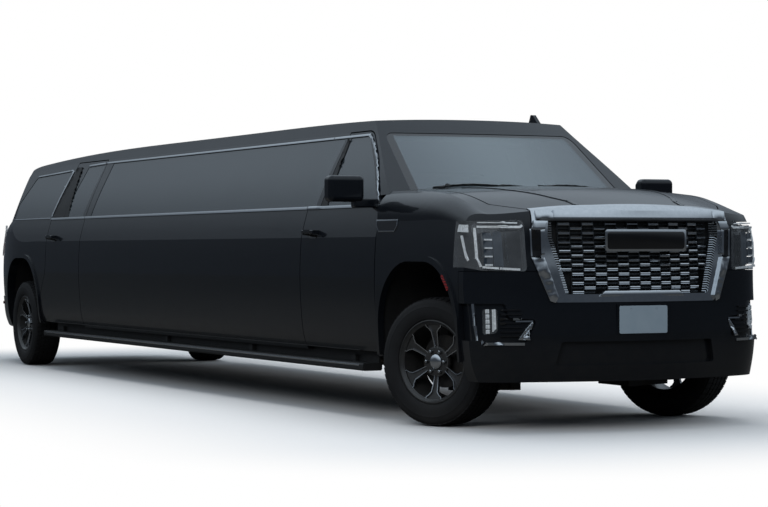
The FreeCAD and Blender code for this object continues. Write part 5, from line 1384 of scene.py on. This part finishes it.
nut_parts, well_parts = [], []
for i in range(SPOKES):
    angle = math.tau * i / SPOKES
    x, z = NUT_CIRCLE * math.cos(angle), NUT_CIRCLE * math.sin(angle)
    well_parts.append(peg(20, 0.0145, 0.004, (x, 0.0705, z)))
    nut = peg(6, 0.0100, 0.016, (x, 0.0790, z))
    with editing(nut, "FACE"):
        pick(nut, lambda centre, normal: normal.y > 0.9)
        bpy.ops.mesh.inset(thickness=0.003, depth=0.003)
    nut_parts.append(nut)
nuts = joined("nuts", nut_parts)
wells = joined("wells", well_parts)
barrel = turned("barrel", barrel_outline, 72)
print("spokes", len(spokes.data.polygons), "faces, barrel", len(barrel.data.polygons))

# %% [markdown]
# The tyre is turned from its section: a rounded wall with a fine ring, and a shoulder. The tread is five
# rings of blocks with grooves between them. One block of each ring is modelled and copied round, and the
# rings are staggered.

# %% Tyre with its tread
tyre_half = [
    (0.2384, 0.060), (0.2660, 0.1195), (0.2740, 0.1240), (0.2860, 0.1290), (0.3020, 0.1318), (0.3200, 0.1324),
    (0.338, 0.1312), (0.340, 0.1322), (0.342, 0.1308), (0.360, 0.1272), (0.374, 0.1215), (0.384, 0.114),
    (0.3900, 0.1020), (0.3915, 0.0800), (0.3925, 0.0550), (0.3930, 0.0280),
]
tyre_outline = tyre_half + [(r, -a) for r, a in reversed(tyre_half)]
carcass = turned("carcass", tyre_outline, 96)
BLOCKS = 60
BLOCK_SLANT = 0.16
TREAD_RADIUS = 0.396


def block_row(name, inner, outer, height, share, offset):
    """A ring of tread blocks between two distances from the middle; height lowers a shoulder's outer edge."""
    pitch = math.tau / BLOCKS
    half_step = TREAD_RADIUS * pitch * share / 2
    low, high = sorted((inner, outer))
    block = box(name, (0.384, low, -half_step), (0.3985, high, half_step))
    with editing(block, "FACE"):
        pick(block, lambda centre, normal: normal.x > 0.9)
        bpy.ops.mesh.inset(thickness=0.0016, depth=0.0004)
    for vertex in block.data.vertices:
        if height and abs(vertex.co.y) > abs(outer) - 0.004 and vertex.co.x > 0.39:
            vertex.co.x -= height
        vertex.co.z += vertex.co.y * BLOCK_SLANT
    blocks = [copied(block, name, Matrix.Rotation(pitch * (i + offset), 4, "Y")) for i in range(BLOCKS)]
    bpy.data.objects.remove(block, do_unlink=True)
    return joined(name, blocks)


tread_rows = [
    block_row("row_a", 0.070, 0.112, 0.008, 0.78, 0.0),
    block_row("row_b", -0.070, -0.112, 0.008, 0.78, 0.5),
    block_row("row_c", 0.026, 0.060, 0.0, 0.86, 0.3),
    block_row("row_d", -0.026, -0.060, 0.0, 0.86, 0.8),
    block_row("row_e", -0.017, 0.017, 0.0, 0.92, 0.1),
]
tyre = joined("tyre_whole", [carcass] + tread_rows)
tyre.data.calc_loop_triangles()
print("tyre triangles", len(tyre.data.loop_triangles))

# %% [markdown]
# Every wheel gets its own copies. A right-hand wheel is turned half round so that its face looks out, and
# a front wheel is turned about its kingpin as the car is parked.

# %% Place the wheels
wheel_pieces = (
    ("barrel", barrel, "alloy_pocket"), ("spokes", spokes, None), ("hub", hub, "alloy_pocket"),
    ("cap", cap, "chrome"), ("wells", wells, "gloss_black"), ("nuts", nuts, "chrome"), ("tyre", tyre, "tyre"),
)
for axle, axle_x in (("front", FRONT), ("rear", REAR)):
    for side, sign in (("right", -1), ("left", 1)):
        where = Matrix.Translation((axle_x, sign * TRACK_HALF, HUB_Z))
        if sign < 0:
            where = where @ Matrix.Rotation(math.pi, 4, "Z")
        if axle == "front":
            pivot = Vector((FRONT, sign * KINGPIN_Y, 0))
            turn = Matrix.Translation(pivot) @ Matrix.Rotation(STEER, 4, "Z") @ Matrix.Translation(-pivot)
            where = turn @ where
        for kind, seed, finish in wheel_pieces:
            name = f"wheel_{kind}_{axle}_{side}"
            made = finished(copied(seed, name, where), f"wheel_{axle}_{side}", finish, 30)
            if kind == "spokes":
                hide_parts(f"rim_{axle}_{side}")
            if kind == "tyre":
                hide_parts(f"tyre_{axle}_{side}")
for kind, seed, finish in wheel_pieces:
    bpy.data.objects.remove(seed, do_unlink=True)

# %% [markdown]
# ## Details along the side
#
# The doors carry a dark bowl behind each handle, the mirrors a glass at the back, and the fender a plain
# trim plate. A red reflector sits on the front arch's lip, and the running boards have a bright edge and
# a ribbed tread.

# %% Door handles
HANDLE_Z = 1.200
for where, handle_x in (("front", FRONT - 1.600), ("rear", REAR + 1.005)):
    bowl_outline = [(handle_x + u, HANDLE_Z + v) for u, v in rounded_outline(0.070, 0.030, 0.028)]
    bowl = pressed(f"handle_bowl_{where}_right", bowl_outline, side_skin, "-Y", 0.0022, 0.010)
    both_sides(bowl, f"{where}_door_right", "gloss_black")

# %% [markdown]
# A mirror's glass is a rounded plate pressed onto the back of its shell.

# %% Mirrors
mirror_low, mirror_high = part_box("mirror_right")
glass_y = (mirror_low.y + mirror_high.y) / 2 - 0.020
glass_z = (mirror_low.z + mirror_high.z) / 2 + 0.020
glass_outline = [(glass_y + u, glass_z + v) for u, v in rounded_outline(0.088, 0.062, 0.022)]
mirror_glass = pressed("mirror_glass_right", glass_outline, "mirror_right", "-X", 0.0025)
both_sides(mirror_glass, "front_door_right", "chrome")

# %% [markdown]
# The fender's trim plate is flat on top and slanted at its lower corners, with a chrome rim round a dark
# field.

# %% Fender trim
trim_rim = [
    (FRONT - 0.600, 1.250), (FRONT - 0.600, 1.286), (FRONT - 0.292, 1.286), (FRONT - 0.292, 1.246),
    (FRONT - 0.330, 1.206), (FRONT - 0.560, 1.206),
]
trim_field = [
    (FRONT - 0.590, 1.252), (FRONT - 0.590, 1.277), (FRONT - 0.301, 1.277), (FRONT - 0.301, 1.249),
    (FRONT - 0.334, 1.215), (FRONT - 0.556, 1.215),
]
trimmed(pressed("fender_trim_rim_right", trim_rim, side_skin, "-Y", 0.006), "chassis", "chrome", 0.0015)
trimmed(pressed("fender_trim_field_right", trim_field, side_skin, "-Y", 0.007), "chassis", "gloss_black")

# %% [markdown]
# The reflector is bent along the front arch's lip, so its path is an arc round a point above the wheel's
# middle.

# %% Arch reflectors
ARCH_Z = HUB_Z + 0.09
REFLECTOR_REACH = 0.581
REFLECTOR_WIDTH = 0.018
arc = []
for degrees in (38, 44, 50):
    angle = math.radians(degrees)
    arc.append((FRONT + REFLECTOR_REACH * math.cos(angle), ARCH_Z + REFLECTOR_REACH * math.sin(angle)))
reflector = pressed_ribbon("arch_reflector_right", arc, REFLECTOR_WIDTH, nose_skin, "-Y", 0.005)
both_sides(reflector, "chassis", "red_lens")

# %% [markdown]
# A running board is long and low. Its outer edge has a bright strip, and ribs on its upper face keep a
# wet shoe from slipping: one rib is modelled and arrayed.

# %% Running boards
board_low, board_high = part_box("running_boards")
strip_low = (board_low.x + 0.06, board_low.y - 0.0015, 0.338)
strip_high = (board_high.x - 0.06, board_low.y + 0.003, 0.349)
both_sides(softened(box("board_strip_right", strip_low, strip_high), 0.0012, 2), "chassis", "chrome")
RIB_PITCH = 0.030
rib_low = (board_low.x + 0.10, board_low.y + 0.030, board_high.z - 0.0015)
rib_high = (board_low.x + 0.112, board_low.y + 0.105, board_high.z + 0.0025)
rib = softened(box("board_ribs_right", rib_low, rib_high), 0.0015, 1)
array = rib.modifiers.new("ribs", "ARRAY")
array.use_relative_offset = False
array.use_constant_offset = True
array.constant_offset_displace = (RIB_PITCH, 0, 0)
array.count = int((board_high.x - board_low.x - 0.22) / RIB_PITCH)
both_sides(settle(rib), "chassis", "trim_plastic")

# %% [markdown]
# ## Bonnet and windscreen
#
# Two soft creases run back over the bonnet and spread towards the windscreen. At the windscreen's foot
# lie the two wiper blades, each a shallow arc.

# %% Bonnet creases and wipers
for side, sign in (("right", -1), ("left", 1)):
    crease = [
        (FRONT + 0.850, sign * 0.374), (FRONT + 0.760, sign * 0.378), (FRONT + 0.640, sign * 0.430),
        (FRONT + 0.300, sign * 0.520), (FRONT - 0.200, sign * 0.590),
    ]
    ridge = pressed_ribbon(f"bonnet_crease_{side}", crease, 0.028, "hood", "Z", 0.004)
    finished(softened(ridge, 0.003, 2, 60), "hood", "paint")

WIPERS = ((-0.62, -0.02), (0.08, 0.66))
WIPER_Z = 1.494
WIPER_RISE = 0.024
wiper_skin = skin_of("wiper_skin", "windscreen", "cowl", "roof")
for i, (start, end) in enumerate(WIPERS):
    path = []
    for j in range(9):
        y = start + (end - start) * j / 8
        path.append((y, WIPER_Z + WIPER_RISE * math.sin(math.pi * j / 8)))
    wiper = pressed_ribbon(f"wiper_blade_{i}", path, 0.016, wiper_skin, "X", 0.014, 0.010, 0.001)
    finished(wiper, "chassis", "trim_plastic")

# %% [markdown]
# ## The tail
#
# The photograph hides the tail, so it follows the type: upright lamps with a bright core, a chrome bar
# across the tailgate, a blank plate below it, a wiper on the glass, a third brake lamp under the roof's
# lip and two reflectors in the bumper.

# %% Tail
tail_skin = skin_of("tail_skin", "tailgate", "tailgate_glass", "tail_lamps", "rear_quarters", "rear_bumper")
core_path = [(-0.880, 1.04), (-0.865, 1.34)]
core = pressed_ribbon("tail_lamp_core_right", core_path, 0.020, "tail_lamps", "-X", 0.004)
both_sides(core, "chassis", "lamp_light")
bar_outline = [(-0.62, 1.035), (-0.62, 1.075), (0.62, 1.075), (0.62, 1.035)]
tail_bar = pressed("tail_bar", bar_outline, "tailgate", "-X", 0.006, 0.02)
finished(softened(tail_bar, 0.002, 2), "tailgate", "chrome")
tail_plate_outline = [(-0.168, 0.815), (-0.168, 0.965), (0.168, 0.965), (0.168, 0.815)]
tail_plate = pressed("tail_plate", tail_plate_outline, "tailgate", "-X", 0.004, 0.02)
finished(softened(tail_plate, 0.001, 1), "tailgate", "plate_paint")
tail_wiper = pressed_ribbon("tail_wiper", [(0.03, 1.425), (0.40, 1.440)], 0.014, tail_skin, "-X", 0.012)
finished(tail_wiper, "tailgate", "trim_plastic")
brake_lamp = pressed_ribbon("tail_brake_lamp", [(-0.20, 1.79), (0.20, 1.79)], 0.022, "tailgate", "-X", 0.005)
finished(brake_lamp, "tailgate", "red_lens")
for side, sign in (("right", -1), ("left", 1)):
    reflector = [(sign * 0.86, 0.560), (sign * 0.86, 0.586), (sign * 0.72, 0.586), (sign * 0.72, 0.560)]
    finished(pressed(f"tail_reflector_{side}", reflector, "rear_bumper", "-X", 0.004), "chassis", "red_lens")

# %% [markdown]
# ## The cabin
#
# Soft things come last. A cushion starts as a block, is cut into a fine net, and then every point is
# moved: the sides pull in between the corners, the top is crowned, and sewn channels are pressed into it.
# The same function makes the seats in front and the long benches behind.

# %% Cushions
CUSHION_CUTS = 24
SEAM_WIDTH = 0.011


def bulge(t):
    """0 at both ends of a side and 1 in its middle."""
    return max(0.0, 1 - abs(2 * t - 1) ** 2.4)


def cushion(name, low, high, crown, channels=(0, 0), up="Z"):
    """A padded block between two corners, crowned towards up, with sewn channels across its two sides."""
    low, high = Vector(low), Vector(high)
    size = high - low
    block = box(name, low, high)
    with editing(block, "EDGE"):
        bpy.ops.mesh.subdivide(number_cuts=CUSHION_CUTS)
    block = softened(block, min(size) * 0.16, 3, 60)
    top = "XYZ".index(up.strip("-"))
    sign = -1 if up.startswith("-") else 1
    first, second = [axis for axis in range(3) if axis != top]
    for vertex in block.data.vertices:
        share = [(vertex.co[axis] - low[axis]) / size[axis] for axis in range(3)]
        height = share[top] if sign > 0 else 1 - share[top]
        for axis, other in ((first, second), (second, first)):
            edge = 2 * share[axis] - 1
            vertex.co[axis] -= math.copysign(crown * 0.35 * bulge(share[other]) * abs(edge) ** 3, edge)
        puff = bulge(share[first]) ** 0.5 * bulge(share[second]) ** 0.5
        seam = 0.0
        for axis, count in ((first, channels[0]), (second, channels[1])):
            for k in range(1, count + 1):
                gap = abs(share[axis] - k / (count + 1)) * size[axis]
                seam = max(seam, math.exp(-(gap / SEAM_WIDTH) ** 2))
        drop = crown * (1 - puff) + seam * crown * 0.75
        vertex.co[top] -= sign * drop * height ** 2
    return outward(block)


def seat_piece(name, replaced, *args, **kwargs):
    """A finished leather cushion, which may stand for a plain solid."""
    made = finished(cushion(name, *args, **kwargs), "chassis", "leather", 60)
    if replaced:
        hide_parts(replaced)


FLOOR_TOP = 0.5404
SEAT_HALF = 0.260
for side, sign in (("right", -1), ("left", 1)):
    y = sign * 0.390
    seat_piece(
        f"seat_cushion_{side}", "front_seats" if side == "right" else None,
        (FRONT - 1.780, y - SEAT_HALF, FLOOR_TOP + 0.190), (FRONT - 1.260, y + SEAT_HALF, FLOOR_TOP + 0.340),
        0.022, (1, 2),
    )
    seat_piece(
        f"seat_back_{side}", None,
        (FRONT - 1.840, y - 0.250, FLOOR_TOP + 0.345), (FRONT - 1.702, y + 0.250, FLOOR_TOP + 0.905),
        0.022, (2, 3), up="X",
    )
    seat_piece(
        f"seat_head_{side}", None,
        (FRONT - 1.825, y - 0.130, FLOOR_TOP + 0.925), (FRONT - 1.735, y + 0.130, FLOOR_TOP + 1.078),
        0.014, up="X",
    )
    base_low = (FRONT - 1.718, y - 0.198, FLOOR_TOP)
    base_high = (FRONT - 1.322, y + 0.198, FLOOR_TOP + 0.190)
    base = box(f"seat_base_{side}", base_low, base_high)
    with editing(base, "FACE"):
        pick(base, lambda centre, normal: abs(normal.z) < 0.5)
        bpy.ops.mesh.inset(thickness=0.030, depth=-0.008, use_individual=True)
    finished(softened(base, 0.004, 2), "chassis", "trim_plastic")
    posts = []
    for post_y in (y - 0.060, y + 0.060):
        ends = [(FRONT - 1.778, post_y, FLOOR_TOP + 0.880), (FRONT - 1.778, post_y, FLOOR_TOP + 0.960)]
        posts.append(bar("post", ends, 0.006, 3))
    finished(joined(f"seat_posts_{side}", posts), "chassis", "chrome")

# %% [markdown]
# The long bench runs down the left of the saloon as five seats on one box, with five back cushions, and a
# wider bench closes the saloon at the rear.

# %% Benches
BENCH_REAR = BACK_DOOR_FRONT + 0.150
BENCH_FRONT = FRONT - 2.230
SEATS = 5
pitch = (BENCH_FRONT - BENCH_REAR) / SEATS
bench_box = box("bench_box", (BENCH_REAR, 0.385, FLOOR_TOP), (BENCH_FRONT, 0.850, FLOOR_TOP + 0.240))
finished(softened(bench_box, 0.010, 3), "chassis", "cabin_trim")
for i in range(SEATS):
    x0 = BENCH_REAR + i * pitch + 0.004
    x1 = x0 + pitch - 0.008
    seat_piece(
        f"bench_seat_{i}", "benches" if i == 0 else None,
        (x0, 0.372, FLOOR_TOP + 0.242), (x1, 0.800, FLOOR_TOP + 0.378), 0.022, (3, 1),
    )
    seat_piece(
        f"bench_back_{i}", None,
        (x0, 0.738, FLOOR_TOP + 0.380), (x1, 0.852, FLOOR_TOP + 0.738), 0.020, (3, 1), up="-Y",
    )
REAR_SEAT = 0.6804
rear_box_low = (REAR + 0.140, -0.610, REAR_SEAT)
rear_box_high = (REAR + 0.650, 0.610, REAR_SEAT + 0.150)
finished(softened(box("rear_bench_box", rear_box_low, rear_box_high), 0.010, 3), "chassis", "cabin_trim")
for i in range(2):
    y0 = -0.618 + i * 0.620
    y1 = y0 + 0.614
    seat_piece(
        f"rear_seat_{i}", None,
        (REAR + 0.184, y0, REAR_SEAT + 0.152), (REAR + 0.668, y1, REAR_SEAT + 0.298), 0.022, (1, 3),
    )
    seat_piece(
        f"rear_back_{i}", None,
        (REAR + 0.042, y0, REAR_SEAT + 0.152), (REAR + 0.178, y1, REAR_SEAT + 0.698), 0.022, (3, 2), up="X",
    )
print("cabin ready")

# %% [markdown]
# ## Clearing away
#
# The copied skins only served as something to press against. They go before the file is finished, so that
# every object that is left is a piece of the car or of the studio.

# %% Remove the passing skins
for skin in passing:
    bpy.data.objects.remove(skin, do_unlink=True)
print("passing skins removed:", len(passing))

# %% [markdown]
# ## The end

# %% Finish
print("done")
